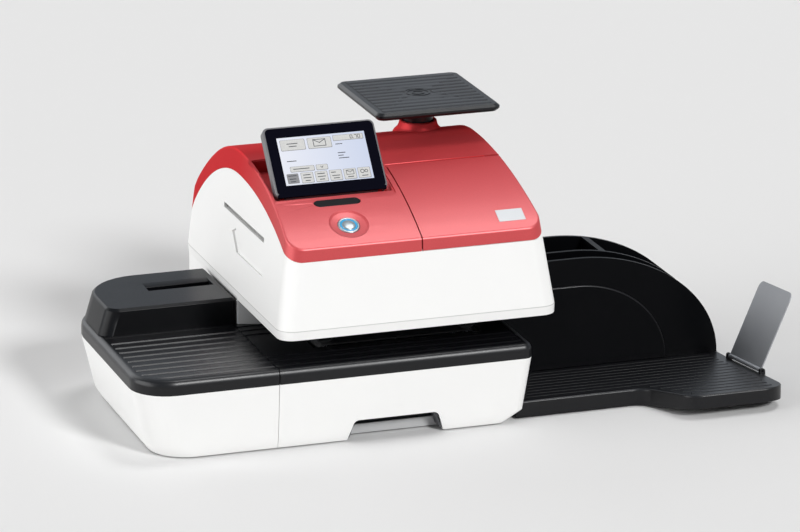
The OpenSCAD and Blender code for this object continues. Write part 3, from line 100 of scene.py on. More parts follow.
# The room is brighter where it is seen or mirrored than where it fills the shade, and it mirrors cooler
studio = dict(sky=(1.0, 1.0, 1.0), cool=(0.88, 0.95, 1.04), fill=0.18, seen=0.77, mirrored=0.62)
colourIn = (6, 7)  # the sockets of a Mix node that carry colours
colourOut = 2
world = bpy.data.worlds.new("studio")
scene.world = world
world.use_nodes = True
room = world.node_tree
backdrop = room.nodes["Background"]
rays = room.nodes.new("ShaderNodeLightPath")
hue = room.nodes.new("ShaderNodeMix")
hue.data_type = "RGBA"
for socket, tone in zip(colourIn, ("sky", "cool")):
    hue.inputs[socket].default_value = (*studio[tone], 1)
room.links.new(rays.outputs["Is Glossy Ray"], hue.inputs["Factor"])
room.links.new(hue.outputs[colourOut], backdrop.inputs["Color"])
strength = None
for ray, amount in (("Is Camera Ray", studio["seen"]), ("Is Glossy Ray", studio["mirrored"])):
    lift = room.nodes.new("ShaderNodeMath")
    lift.operation = "MULTIPLY_ADD"
    lift.inputs[1].default_value = amount - studio["fill"]
    lift.inputs[2].default_value = studio["fill"]
    room.links.new(rays.outputs[ray], lift.inputs[0])
    if strength:
        room.links.new(strength, lift.inputs[2])
    strength = lift.outputs[0]
room.links.new(strength, backdrop.inputs["Strength"])
print("stage: camera and light")


# Shader maths on sockets: values through Math nodes, anything else through Look.node
class Sock:
    def __init__(self, look, out):
        self.look = look
        self.out = out

    def math(self, op, other, flip=False):
        pair = (other, self) if flip else (self, other)
        return self.look.node("ShaderNodeMath", {"operation": op}, {0: pair[0], 1: pair[1]})

    def __add__(self, o):
        return self.math("ADD", o)

    def __radd__(self, o):
        return self.math("ADD", o, True)

    def __sub__(self, o):
        return self.math("SUBTRACT", o)

    def __rsub__(self, o):
        return self.math("SUBTRACT", o, True)

    def __mul__(self, o):
        return self.math("MULTIPLY", o)

    def __rmul__(self, o):
        return self.math("MULTIPLY", o, True)


class Look:
    def __init__(self, name, **fixed):
        self.mat = bpy.data.materials.new(name)
        self.mat.use_nodes = True
        self.tree = self.mat.node_tree
        self.shader = self.tree.nodes["Principled BSDF"]
        for key, value in fixed.items():
            self.shader.inputs[key.replace("_", " ")].default_value = value

    def link(self, socket, value):
        if isinstance(value, Sock):
            self.tree.links.new(value.out, socket)
        else:
            socket.default_value = value

    def node(self, kind, settings=None, values=None, out=0):
        n = self.tree.nodes.new(kind)
        for key, value in (settings or {}).items():
            setattr(n, key, value)
        for key, value in (values or {}).items():
            self.link(n.inputs[key], value)
        return Sock(self, n.outputs[out])

    def place(self, scale=(1, 1, 1)):
        at = self.node("ShaderNodeTexCoord", out="Object")
        return self.node("ShaderNodeMapping", {}, {"Vector": at, "Scale": scale})

    def along(self, axis):
        return self.node("ShaderNodeSeparateXYZ", {}, {"Vector": self.place()}, out=axis)

    def noise(self, scale, detail=2.0, where=None):
        return self.node("ShaderNodeTexNoise", {},
                         {"Vector": where or self.place(), "Scale": scale, "Detail": detail})

    def ramp(self, value, slope, base):
        return self.node("ShaderNodeMath", {"operation": "MULTIPLY_ADD", "use_clamp": True},
                         {0: value, 1: slope, 2: base})

    def mix(self, factor, first, second):
        return self.node("ShaderNodeMix", {"data_type": "RGBA"},
                         {"Factor": factor, colourIn[0]: first, colourIn[1]: second}, out=colourOut)

    def tint(self, factor, dark, light):
        return self.mix(factor, (*dark, 1), (*light, 1))

    def feed(self, key, value):
        self.link(self.shader.inputs[key], value)

    def bump(self, height, strength, depth):
        self.feed("Normal", self.node("ShaderNodeBump", {},
                                      {"Height": height, "Strength": strength, "Distance": depth}))


middle = 0.5  # of the range of a noise

# Spark-eroded plastic: a fine grain, a slow drift of tone, a little unevenness in the gloss, and, if given, a
# grey line of painted shade along a crease
mould = dict(drift=9, detail=3, driftTone=0.7, grainTone=0.3, grainGloss=0.22, driftGloss=0.1, bump=0.35)


def mouldLook(name, dark, light, gloss, grain, depth, line=None, **fixed):
    look = Look(name, **fixed)
    drift = look.noise(mould["drift"], mould["detail"])
    fine = look.noise(grain, mould["detail"])
    tone = look.tint(drift * mould["driftTone"] + fine * mould["grainTone"], dark, light)
    # Painted shade: a grey line at the given height, darkest on it and fading within a fraction of a
    # millimetre
    if line:
        away = look.node("ShaderNodeMath", {"operation": "ABSOLUTE"}, {0: look.along("Z") - line["z"]})
        shadeLineMask = look.ramp(away, -1 / line["fade"], line["half"] / line["fade"] + 1)
        tone = look.mix(shadeLineMask, tone, (*line["tone"], 1))
    look.feed("Base Color", tone)
    look.feed("Roughness", gloss + (fine - middle) * mould["grainGloss"]
              + (drift - middle) * mould["driftGloss"])
    look.bump(fine, mould["bump"], depth)
    return look.mat


# Metallic lacquer: flakes under a clear coat. The coat is laid fullest at the front and on the faces that
# look up, a painted sheen: the lamps' reflection is real, but where it gathers is painted
lacquer = dict(flakes=2600, drift=14, flakeTone=0.55, driftTone=0.45, flakeGloss=0.12, bump=0.06,
               depth=0.00004)
coatSheen = dict(end=0.03, fall=6.0, full=0.95, side=0.55, drift=0.08)


def lacquerLook(name, dark, light, metal, gloss):
    look = Look(name, Metallic=metal, Coat_Roughness=0.40, Coat_IOR=1.8, Specular_IOR_Level=0.0,
                Specular_Tint=(0.9, 0.16, 0.18, 1))
    cells = look.node("ShaderNodeTexVoronoi", {}, {"Vector": look.place(), "Scale": lacquer["flakes"]},
                      out="Color")
    flake = look.node("ShaderNodeSeparateColor", {}, {"Color": cells})
    drift = look.noise(lacquer["drift"])
    tone = flake * lacquer["flakeTone"] + drift * lacquer["driftTone"]
    look.feed("Base Color", look.tint(tone, dark, light))
    look.feed("Roughness", gloss + (flake - middle) * lacquer["flakeGloss"])
    # Painted sheen: more coat towards the front and on upward faces, where the top lamp's highlight is wanted
    front = look.ramp(look.along("Y"), -coatSheen["fall"], coatSheen["end"] * coatSheen["fall"])
    facing = look.node("ShaderNodeTexCoord", out="Normal")
    upwardSheen = look.node("ShaderNodeSeparateXYZ", {}, {"Vector": facing}, out="Z")
    spread = front * (upwardSheen * (1 - coatSheen["side"]) + coatSheen["side"])
    look.feed("Coat Weight", spread * (coatSheen["full"] + (drift - middle) * coatSheen["drift"]))
    look.bump(flake, lacquer["bump"], lacquer["depth"])
    return look.mat


# Metal with fine lines along one axis of the piece
brushed = dict(detail=4, cloud=22, cloudDetail=3, lineTone=0.6, cloudTone=0.4, lineGloss=0.3, bump=0.25,
               depth=0.00003)


def brushedLook(name, dark, light, gloss, stretch):
    look = Look(name, Metallic=1.0)
    lines = look.noise(1, brushed["detail"], look.place(stretch))
    cloud = look.noise(brushed["cloud"], brushed["cloudDetail"])
    tone = lines * brushed["lineTone"] + cloud * brushed["cloudTone"]
    look.feed("Base Color", look.tint(tone, dark, light))
    look.feed("Roughness", gloss + (lines - middle) * brushed["lineGloss"])
    look.bump(lines, brushed["bump"], brushed["depth"])
    return look.mat


rubber = dict(pores=1500, dust=60, dustDetail=4, dustGloss=0.2, bump=0.4, depth=0.0001)


def rubberLook(name, dark, light, gloss):
    look = Look(name)
    pores = look.node("ShaderNodeTexVoronoi", {}, {"Vector": look.place(), "Scale": rubber["pores"]},
                      out="Distance")
    dust = look.noise(rubber["dust"], rubber["dustDetail"])
    look.feed("Base Color", look.tint(dust, dark, light))
    look.feed("Roughness", gloss + (dust - middle) * rubber["dustGloss"])
    look.bump(pores, rubber["bump"], rubber["depth"])
    return look.mat


# A circuit board: copper tracks that show through the mask
board = dict(pitch=160, track=0.03, offset=0.5, gloss=0.3, dust=80, dustGloss=0.2)


def boardLook(name, mask, copper):
    look = Look(name)
    tracks = look.node("ShaderNodeTexBrick", {"offset": board["offset"]},
                       {"Vector": look.place(), "Scale": board["pitch"], "Mortar Size": board["track"],
                        "Color1": (*mask, 1), "Color2": (*mask, 1), "Mortar": (*copper, 1)})
    look.feed("Base Color", tracks)
    look.feed("Roughness", board["gloss"] + look.noise(board["dust"]) * board["dustGloss"])
    return look.mat


# The lit panel: white at its left, falling to a pale blue
panel = dict(shift=0.185, fall=8.5, grain=2600, grainTone=0.06)


def panelLook(name, corner, far, level):
    look = Look(name, Base_Color=(0.02, 0.02, 0.025, 1), Roughness=0.12, Emission_Strength=level)
    grain = (look.noise(panel["grain"], 0) - middle) * panel["grainTone"]
    fall = (look.along("X") + panel["shift"]) * panel["fall"] + grain
    look.feed("Emission Color", look.tint(fall, corner, far))
    return look.mat


# What glows of itself, a little dimmer in spots
def glowLook(name, tone, level, spot, dim=0.75):
    look = Look(name, Base_Color=(0.01, 0.01, 0.012, 1), Roughness=0.25, Emission_Strength=level)
    look.feed("Emission Color", look.tint(look.noise(spot, 1), [c * dim for c in tone], tone))
    return look.mat


white = dict(dark=(0.795, 0.795, 0.787), light=(0.845, 0.843, 0.832), gloss=0.42, grain=1900, depth=0.00005)
# Painted shade: a grey line in the crease where the hood's shoulder turns under, just above its lower edge
hoodCreaseShade = dict(z=0.1237, half=0.0003, fade=0.0003, tone=(0.50, 0.50, 0.49))  # above the hood's lower edge
looks = {
    "white_shell": mouldLook("whiteShell", **white),
    "hood_white": mouldLook("hoodWhiteCreaseShade", line=hoodCreaseShade, **white),
    "red_cover": lacquerLook("redLacquer", (0.48, 0.041, 0.047), (0.60, 0.056, 0.062), 0.40, 0.45),
    "black_plastic": mouldLook("blackMould", (0.0020, 0.0020, 0.0027), (0.0042, 0.0042, 0.0054),
                               0.34, 1500, 0.00004, Specular_IOR_Level=0.34),
    "tray_black": mouldLook("trayBlack", (0.0008, 0.0009, 0.0014), (0.0018, 0.0020, 0.0028),
                            0.38, 1500, 0.00004, Specular_IOR_Level=0.08),
    "block_black": mouldLook("blockBlack", (0.0010, 0.0011, 0.0016), (0.0022, 0.0024, 0.0033),
                             0.34, 1500, 0.00004, Specular_IOR_Level=0.16),
    "plate_steel": brushedLook("plateSteel", (0.27, 0.275, 0.285), (0.37, 0.375, 0.385),
                               0.60, (2400, 60, 2400)),
    "frame_grey": mouldLook("frameGrey", (0.10, 0.10, 0.106), (0.14, 0.14, 0.148), 0.34, 1500, 0.00004),
    "dark_grey_plastic": mouldLook("darkGreyMould", (0.055, 0.057, 0.062), (0.085, 0.087, 0.094),
                                   0.4, 1500, 0.00008),
    "light_grey_plastic": mouldLook("lightGreyMould", (0.43, 0.435, 0.44), (0.50, 0.505, 0.51),
                                    0.45, 1500, 0.00008),
    "bezel_gloss": mouldLook("bezelGloss", (0.0018, 0.0018, 0.0050), (0.0030, 0.0030, 0.0075),
                             0.14, 300, 0.000004, Specular_IOR_Level=0.03),
    "screen_glass": panelLook("litPanel", (0.86, 0.88, 0.95), (0.60, 0.67, 0.85), 0.92),
    "silver_button": brushedLook("silverCap", (0.30, 0.335, 0.347), (0.40, 0.44, 0.455),
                                 0.34, (700, 700, 700)),
    "blue_light": glowLook("blueRing", (0.03, 0.44, 0.82), 0.95, 500),
    "badge_metal": brushedLook("badgeSatin", (0.36, 0.365, 0.37), (0.50, 0.50, 0.50),
                               0.46, (60, 3500, 3500)),
    "sheet_steel": brushedLook("sheetSteel", (0.34, 0.35, 0.37), (0.50, 0.51, 0.53),
                               0.34, (2400, 60, 2400)),
    "bright_steel": brushedLook("brightSteel", (0.56, 0.57, 0.58), (0.72, 0.73, 0.74),
                                0.24, (900, 900, 60)),
    "rubber": rubberLook("footRubber", (0.014, 0.014, 0.015), (0.03, 0.03, 0.031), 0.8),
    "belt_rubber": rubberLook("beltRubber", (0.02, 0.02, 0.021), (0.04, 0.04, 0.042), 0.7),
    "gear_plastic": mouldLook("gearNylon", (0.72, 0.70, 0.62), (0.80, 0.78, 0.70), 0.38, 1200, 0.00005),
    "brass": brushedLook("pinionBrass", (0.55, 0.38, 0.12), (0.70, 0.52, 0.20), 0.3, (900, 80, 900)),
    "board_green": boardLook("boardMask", (0.02, 0.13, 0.055), (0.05, 0.24, 0.10)),
    "cartridge_blue": mouldLook("cartridgeBlue", (0.02, 0.09, 0.25), (0.035, 0.13, 0.32),
                                0.35, 1200, 0.00005),
}
darkened = dict(stop_hinge_pin="tray_black", roller_hangers="tray_black")  # darker than their slots
for nodeName, slot in slotOf.items():
    nodes[nodeName].data.materials.clear()
    nodes[nodeName].data.materials.append(looks[darkened.get(nodeName, slot)])
print("stage: materials")

# Floor: pale grey, keeps the soft shadow
ground = dict(half=14, drop=0.0003, cloud=0.6, dark=(0.725, 0.725, 0.725), light=(0.735, 0.735, 0.735))
floorMesh = bpy.data.meshes.new("floor")
floorMesh.from_pydata([(x * ground["half"], y * ground["half"], 0)
                       for x, y in ((-1, -1), (1, -1), (1, 1), (-1, 1))], [], [(0, 1, 2, 3)])
floor = addObject("floor", floorMesh)
floor.location.z = -ground["drop"]
floorLook = Look("paleFloor", Roughness=1.0, Specular_IOR_Level=0.0)
cloud = floorLook.noise(ground["cloud"], 1)
floorLook.feed("Base Color", floorLook.tint(cloud, ground["dark"], ground["light"]))
floorMesh.materials.append(floorLook.mat)

# The red cover's height over y, in one arc before the crown and two behind it, and its tilt before the crown
crown = dict(y=208, z=262, front=380, crest=150, turn=30, back=228)


def coverZ(y):
    if y <= crown["y"]:
        return crown["z"] - crown["front"] + math.sqrt(crown["front"] ** 2 - (crown["y"] - y) ** 2)
    turn = math.radians(crown["turn"])
    endY = crown["y"] + crown["crest"] * math.sin(turn)
    if y <= endY:
        return crown["z"] - crown["crest"] + math.sqrt(crown["crest"] ** 2 - (y - crown["y"]) ** 2)
    backY = endY - crown["back"] * math.sin(turn)
    backZ = crown["z"] - crown["crest"] * (1 - math.cos(turn)) - crown["back"] * math.cos(turn)
    return backZ + math.sqrt(max(crown["back"] ** 2 - (y - backY) ** 2, 0))


def coverTilt(y):
    return math.asin((crown["y"] - y) / crown["front"])


# Points on a tilted plane: u to the right, v up the slope, w out of it
def onPlane(x, y, z, tilt, u, v, w):
    return toFrame(x + u, y + v * math.cos(tilt) - w * math.sin(tilt),
                   z + v * math.sin(tilt) + w * math.cos(tilt))


def onCover(x, y, u, v, w):
    return onPlane(x, y, coverZ(y), coverTilt(y), u, v, w)


display = dict(x=26, hinge=(97.452992, 243.62595), tilt=50, wide=121, tall=79.5, edge=6, thick=12,
               round=1.7, footClear=1, frontNear=0.4, sideNear=0.6)


def onDisplay(u, v, w):
    return onPlane(display["x"], *display["hinge"], math.radians(display["tilt"]), u, v, w)


# Distance inside a rounded plan (left, front, right, back); radii from front left round to back left
def planInset(x, y, plan, radii):
    x0, y0, x1, y1 = plan
    left, front = x < (x0 + x1) / 2, y < (y0 + y1) / 2
    r = radii[(0 if left else 1) if front else (3 if left else 2)]
    dx = x0 + r - x if left else x - x1 + r
    dy = y0 + r - y if front else y - y1 + r
    if dx > 0 and dy > 0:
        return r - math.hypot(dx, dy)
    return r - max(dx, dy)


hood = dict(left=4, right=306, front=8, back=382, shoulder=123, lineNear=0.7, radii=(18, 18, 46, 46),
            leftLean=0.13, rightLean=0.168, frontLean=0.07)


def hoodInset(x, y, z):
    rise = z - hood["shoulder"]
    plan = (hood["left"] + hood["leftLean"] * rise, hood["front"] + hood["frontLean"] * rise,
            hood["right"] - hood["rightLean"] * rise, hood["back"])
    return planInset(x, y, plan, hood["radii"])


# The red cover's edge: crisp along the front, softer towards the crown
crease = dict(front=2.0, crown=2.4, start=70, full=190, near=0.6)


def redCrease(co):
    x, y, z = toMachine(co)
    if abs(z - coverZ(y)) > crease["near"] or abs(hoodInset(x, y, z)) > crease["near"]:
        return 0
    rise = min(max((y - crease["start"]) / (crease["full"] - crease["start"]), 0), 1)
    return crease["front"] + (crease["crown"] - crease["front"]) * rise


# The decks' lips are rounded over; their bevel lies between these heights
lips = dict(low=83.5, high=88.2, wide=4.6, round=3.4, seamSide=3, feed=(-148, 0, -0.2, 279),
            feedRadii=(40, 0, 0, 63), base=(0.2, 0, 275.5, 164), baseRadii=(0, 10, 0, 0), baseBack=150)


def lipRound(inset, z):
    return lips["round"] if inset < lips["wide"] and lips["low"] < z < lips["high"] else 0


def feedLip(co):
    x, y, z = toMachine(co)
    inset = planInset(x, y, lips["feed"], lips["feedRadii"])
    return lipRound(inset, z) if x < -lips["seamSide"] else 0


def baseLip(co):
    x, y, z = toMachine(co)
    inset = planInset(x, y, lips["base"], lips["baseRadii"])
    return lipRound(inset, z) if x > lips["seamSide"] and y < lips["baseBack"] else 0


# The display's frame is rounded in front, except along its foot
def displayEdge(co):
    x, y, z = toMachine(co)
    tilt = math.radians(display["tilt"])
    dy, dz = y - display["hinge"][0], z - display["hinge"][1]
    v = dy * math.cos(tilt) + dz * math.sin(tilt)
    w = dz * math.cos(tilt) - dy * math.sin(tilt)
    outer = (display["x"], -display["edge"],
             display["x"] + display["wide"], display["tall"] - display["edge"])
    side = planInset(x, v, outer, (display["edge"],) * 4) < display["sideNear"]
    front = w > display["thick"] / 2 - display["frontNear"]
    return display["round"] if side and front and v > display["footClear"] - display["edge"] else 0


# Edges that stay sharp although the faces beside them turn only a little
button = dict(x=88, y=41, top=-1.6, dish=21, rimWide=0.8, rimNear=0.2)


def dishRim(co):
    x, y, z = toMachine(co)
    radius = math.hypot(x - button["x"], (y - button["y"]) / math.cos(coverTilt(button["y"])))
    return abs(radius - button["dish"]) < button["rimWide"] and abs(z - coverZ(y)) < button["rimNear"]


def shoulderLine(co):
    return abs(co.z * metre - hood["shoulder"]) < hood["lineNear"]


# The raised pad on the tray's wall: its rounded edge takes a glossier, slightly lighter black than its face,
# a painted highlight line along the edge
pad = dict(face=153, low=6, left=282, round=1.4, near=0.1, behind=0.02, over=0.05)


def onPad(x, z):
    return z > pad["low"] and x > pad["left"]


def padEdge(co):
    x, y, z = toMachine(co)
    return pad["round"] if onPad(x, z) and abs(y - pad["face"]) < pad["near"] else 0


# Painted highlight: the faces of the pad's rounded edge, which take the glossier black
def padEdgeHighlight(co):
    x, y, z = toMachine(co)
    return onPad(x, z) and pad["behind"] < y - pad["face"] < pad["round"] + pad["over"]


def addPiece(name, mesh, body, stands=()):
    o = addObject(name, mesh)
    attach(o, body)
    if stands:
        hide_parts(*stands)


def bake(o):
    view = bpy.context.evaluated_depsgraph_get()
    done = bpy.data.meshes.new_from_object(o.evaluated_get(view))
    o.modifiers.clear()
    return done


# Metres: a radius that counts as none, and how near points are welded
near = dict(axis=1e-6, weld=2e-6, cutWeld=1e-5)
# Degrees between faces: still flat, enough for a crease or a round, shaded sharp; and the steps of a bevel
bend = dict(flat=1, crease=20, round=35, sharp=38, creaseSteps=5, roundSteps=3)


def meshOf(name, bm):
    bmesh.ops.recalc_face_normals(bm, faces=bm.faces)
    mesh = bpy.data.meshes.new(name)
    bm.to_mesh(mesh)
    bm.free()
    return mesh


def fillHoles(bm):
    bmesh.ops.holes_fill(bm, edges=[e for e in bm.edges if e.is_boundary], sides=0)


def soften(mesh):
    mesh.shade_smooth()
    mesh.set_sharp_from_angle(angle=math.radians(bend["sharp"]))


# Turned solids: (radius, height) pairs, the ends closed on the axis or onto each other
def turned(name, profile, place, steps=96):
    bm = bmesh.new()
    angles = [2 * math.pi * i / steps for i in range(steps)]
    rings = []
    for r, h in profile:
        around = angles[:1] if r < near["axis"] else angles
        rings.append([bm.verts.new(place(r * math.cos(t), r * math.sin(t), h)) for t in around])
    pairs = list(zip(rings, rings[1:]))
    if len(rings[0]) > 1 and len(rings[-1]) > 1:
        pairs.append((rings[-1], rings[0]))
    for a, b in pairs:
        for i in range(steps):
            j = (i + 1) % steps
            corners = [a[i % len(a)], a[j % len(a)], b[j % len(b)], b[i % len(b)]]
            unique = list(dict.fromkeys(corners))
            if len(unique) > 2:
                bm.faces.new(unique)
    return meshOf(name, bm)


# A box in machine millimetres
def block(name, at):
    low = (at["left"], at["front"], at["low"])
    high = (at["right"], at["back"], at["high"])
    bm = bmesh.new()
    for v in bmesh.ops.create_cube(bm, size=1)["verts"]:
        v.co = toFrame(*[low[i] if v.co[i] < 0 else high[i] for i in range(3)])
    return meshOf(name, bm)


# What is cut from the cover: a stepped dish round the button, and the upper part of the collar
def inDish(u, v, w):
    return onCover(button["x"], button["y"], u, v, w - v * v / (2 * crown["front"]))


stem = dict(x=231, y=241, cut=263.5, clear=60, roof=300)


def onStem(u, v, w):
    return toFrame(stem["x"] + u, stem["y"] + v, w)


dishCut = [(0, 6), (21.6, 6), (21.0, 0.0), (20.6, -0.25), (18.9, -1.05), (18.2, -1.25), (12.0, -2.3),
           (0, -2.9)]
collarCut = [(0, stem["roof"]), (stem["clear"], stem["roof"]),
             (stem["clear"], stem["cut"]), (0, stem["cut"])]
collarRing = [(17.2, 240), (17.2, 269.0), (17.6, 269.5), (19.2, 269.4), (19.9, 268.8), (20.3, 267.2),
              (20.8, 264.8), (21.6, 262.8), (22.8, 261.0), (24.4, 259.5), (26.0, 258.0), (27.2, 256.0),
              (28.0, 252.5), (28.2, 240)]

# The lid stands back a little from the cover, and one deck from the other, which makes their seams read
lidClear = 8  # the lid's back edge stays as it is
lidSeam = dict(left=157.6, right=158.6, front=-10, low=120, high=320,
               back=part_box("cartridge_lid")[1].y * metre + midY - lidClear)
deckSeam = dict(left=0.0, right=0.85, front=-10, back=170, low=60, high=100)


def carved(mesh, cutters):
    o = addObject("raw", mesh)
    tools = [addObject("tool", cutter) for cutter in cutters]
    for tool in tools:
        cut = o.modifiers.new("cut", "BOOLEAN")
        cut.operation = "DIFFERENCE"
        cut.solver = "EXACT"
        cut.object = tool
    done = bake(o)
    for used in [o] + tools:
        bpy.data.objects.remove(used)
    # Close what the cut left open
    bm = bmesh.new()
    bm.from_mesh(done)
    bmesh.ops.remove_doubles(bm, verts=bm.verts, dist=near["cutWeld"])
    fillHoles(bm)
    bmesh.ops.recalc_face_normals(bm, faces=bm.faces)
    bm.to_mesh(done)
    bm.free()
    return done


# Round the edges that `pick` gives a width in millimetres
def bevelled(mesh, pick, steps, clamp):
    bm = bmesh.new()
    bm.from_mesh(mesh)
    layers = bm.edges.layers.float
    weight = layers.get("bevel_weight_edge") or layers.new("bevel_weight_edge")
    widths = [pick(e) if len(e.link_faces) == 2 else 0 for e in bm.edges]
    widest = max(widths)
    for e, width in zip(bm.edges, widths):
        e[weight] = width / widest if widest else 0
    bm.to_mesh(mesh)
    bm.free()
    o = addObject("raw", mesh)
    edge = o.modifiers.new("edge", "BEVEL")
    edge.width = widest / metre
    edge.segments = steps
    edge.limit_method = "WEIGHT"
    edge.use_clamp_overlap = clamp
    done = bake(o)
    bpy.data.objects.remove(o)
    return done


# A shell's own solid with its ribs taken off and its edges rounded: `crease` picks edges for a wider round,
# `sharp` those that stay sharp, and picked faces keep the slot's glossier look as a painted highlight
def roundShell(node, spec):
    mesh = nodes[node].data.copy()
    bm = bmesh.new()
    bm.from_mesh(mesh)
    bmesh.ops.remove_doubles(bm, verts=bm.verts, dist=near["weld"])
    if "ribs" in spec:
        ribFaces = [f for f in bm.faces if spec["ribs"](*toMachine(f.calc_center_median()))]
        bmesh.ops.delete(bm, geom=ribFaces, context="FACES")
        fillHoles(bm)
    bmesh.ops.dissolve_limit(bm, angle_limit=math.radians(bend["flat"]), verts=bm.verts, edges=bm.edges)
    bm.to_mesh(mesh)
    bm.free()
    if "cuts" in spec:
        mesh = carved(mesh, spec["cuts"])

    def wide(e):
        centre = (e.verts[0].co + e.verts[1].co) / 2
        return spec["crease"](centre) if e.calc_face_angle() > math.radians(bend["crease"]) else 0

    def every(e):
        return spec["round"] if e.calc_face_angle() > math.radians(bend["round"]) else 0

    if "crease" in spec:
        mesh = bevelled(mesh, wide, bend["creaseSteps"], False)
    mesh = bevelled(mesh, every, bend["roundSteps"], True)
    mesh.name = node + "Shell"
    soften(mesh)
    if "sharp" in spec:
        for e in mesh.edges:
            if spec["sharp"]((mesh.vertices[e.vertices[0]].co + mesh.vertices[e.vertices[1]].co) / 2):
                e.use_edge_sharp = True
    mesh.materials.clear()
    mesh.materials.append(looks[spec.get("look", slotOf[node])])
    # Painted highlight: the picked faces get the slot's glossier, lighter black
    if "highlightFaces" in spec:
        mesh.materials.append(looks[slotOf[node]])
        for f in mesh.polygons:
            f.material_index = 1 if spec["highlightFaces"](f.center) else 0
    o = addObject("raw", mesh)
    flat = o.modifiers.new("flat", "WEIGHTED_NORMAL")
    flat.keep_sharp = True
    done = bake(o)
    bpy.data.objects.remove(o)
    addPiece(node + "Shell", done, bodyOf[node], [node])


deck = dict(field=87, feedLeft=-148, feedEnd=-0.5, baseStart=1.2, baseRight=275.5, rim=8, rimClear=0.4,
            first=15, pitch=15.4, ribEnd=1, ribWide=3.0, corner=40, blockFront=160, guide=152, belt=(61, 107),
            feedPlan=(-148, 0, 60, 279), basePlan=(-60, 0, 275.5, 300), ribLow=87.02, ribHigh=88.1, seam=0.3,
            feedBack=158, baseBack=150)
pan = dict(x=231, y=241, wide=138, deep=144, top=298.4, ribs=11, ends=12, ring=15, ringGap=1, margin=9,
           ribTall=0.6, ribShare=0.8, ribLow=298.42, ribHalfX=64, ribHalfY=67, ringOut=15.2)
tray = dict(x0=262.5, x1=544, wall=155, foot=3.0, fall=6.7, front=19, jut=-43, jutLong=108, slant=31, edge=9,
            ribs=14, pitch=13.244, stopSide=14, ribGap=1, jutGap=2, ribFrom=271, ribTo=530.5, ribBack=154,
            ribLow=0.03, ribHigh=0.85, rim=2.4, rimFrom=266, rimBack=148, rimNear=0.25, ears=(528, 542))


def overTray(y, z):
    return z - tray["foot"] - math.tan(math.radians(tray["fall"])) * (tray["wall"] - y)


# The tray's outer edge is rounded over, apart from the ears on it
def trayRim(co):
    x, y, z = toMachine(co)
    free = x > tray["rimFrom"] and y < tray["rimBack"] and not tray["ears"][0] < x < tray["ears"][1]
    return tray["rim"] if free and abs(overTray(y, z)) < tray["rimNear"] else 0


# Faces of the solids' own ribs, which shaped ribs take the place of
def deckRibFace(x, y, z, plan, radii):
    inside = planInset(x, y, plan, radii) > deck["rim"] + deck["rimClear"]
    return inside and deck["ribLow"] < z < deck["ribHigh"]


def feedRibFace(x, y, z):
    inside = x < -deck["seam"] and y < deck["feedBack"]
    return inside and deckRibFace(x, y, z, deck["feedPlan"], lips["feedRadii"])


def baseRibFace(x, y, z):
    inside = x > deck["seam"] and y < deck["baseBack"]
    return inside and deckRibFace(x, y, z, deck["basePlan"], lips["baseRadii"])


def panRibFace(x, y, z):
    dx, dy = x - pan["x"], y - pan["y"]
    inside = abs(dx) < pan["ribHalfX"] and abs(dy) < pan["ribHalfY"]
    return inside and z > pan["ribLow"] and math.hypot(dx, dy) > pan["ringOut"]


def trayRibFace(x, y, z):
    inside = tray["ribFrom"] < x < tray["ribTo"] and y < tray["ribBack"]
    return inside and tray["ribLow"] < overTray(y, z) < tray["ribHigh"]


shells = {
    "feed_housing": dict(round=1.0),
    "base_housing": dict(round=0.8),
    "feed_deck": dict(round=0.4, crease=feedLip, ribs=feedRibFace),
    "base_deck": dict(round=0.4, crease=baseLip, ribs=baseRibFace, cuts=[block("deckCut", deckSeam)]),
    "strip_block": dict(round=1.2, look="block_black"),
    "catch_tray": dict(round=1.2, crease=trayRim, ribs=trayRibFace),
    "tray_wall": dict(round=0.9, look="tray_black", crease=padEdge, highlightFaces=padEdgeHighlight),
    "weigh_pan": dict(round=0.8, ribs=panRibFace),
    "display_housing": dict(round=0.8, look="frame_grey", crease=displayEdge),
    "stop_plate": dict(round=0.3, look="plate_steel"),
    "release_key": dict(round=1.0, look="block_black"),
    "badge_plate": dict(round=0.25),
    "hood_shell": dict(round=0.6, sharp=shoulderLine, look="hood_white"),
    "top_cover": dict(round=0.7, crease=redCrease, sharp=dishRim,
                      cuts=[turned("dishCut", dishCut, inDish), turned("collarCut", collarCut, onStem)]),
    "cartridge_lid": dict(round=0.7, crease=redCrease, cuts=[block("seamCut", lidSeam)]),
    "mail_guide": dict(round=0.8),
    "grip_liner": dict(round=0.5),
    "bottom_pan": dict(round=0.4),
    "rear_column": dict(round=0.8),
    "hood_floor": dict(round=0.5),
    "print_carriage": dict(round=0.8),
    "ink_cartridges": dict(round=1.0),
    "power_inlet": dict(round=0.5),
    "power_supply": dict(round=0.8),
    "load_cell_post": dict(round=0.6),
    "service_station": dict(round=0.4),
}
for nodeName, spec in shells.items():
    roundShell(nodeName, spec)
print("stage: shells")

ribSteps = 26
ribTip = 0.02  # the square of the share of its thickness that a rib keeps at its very end


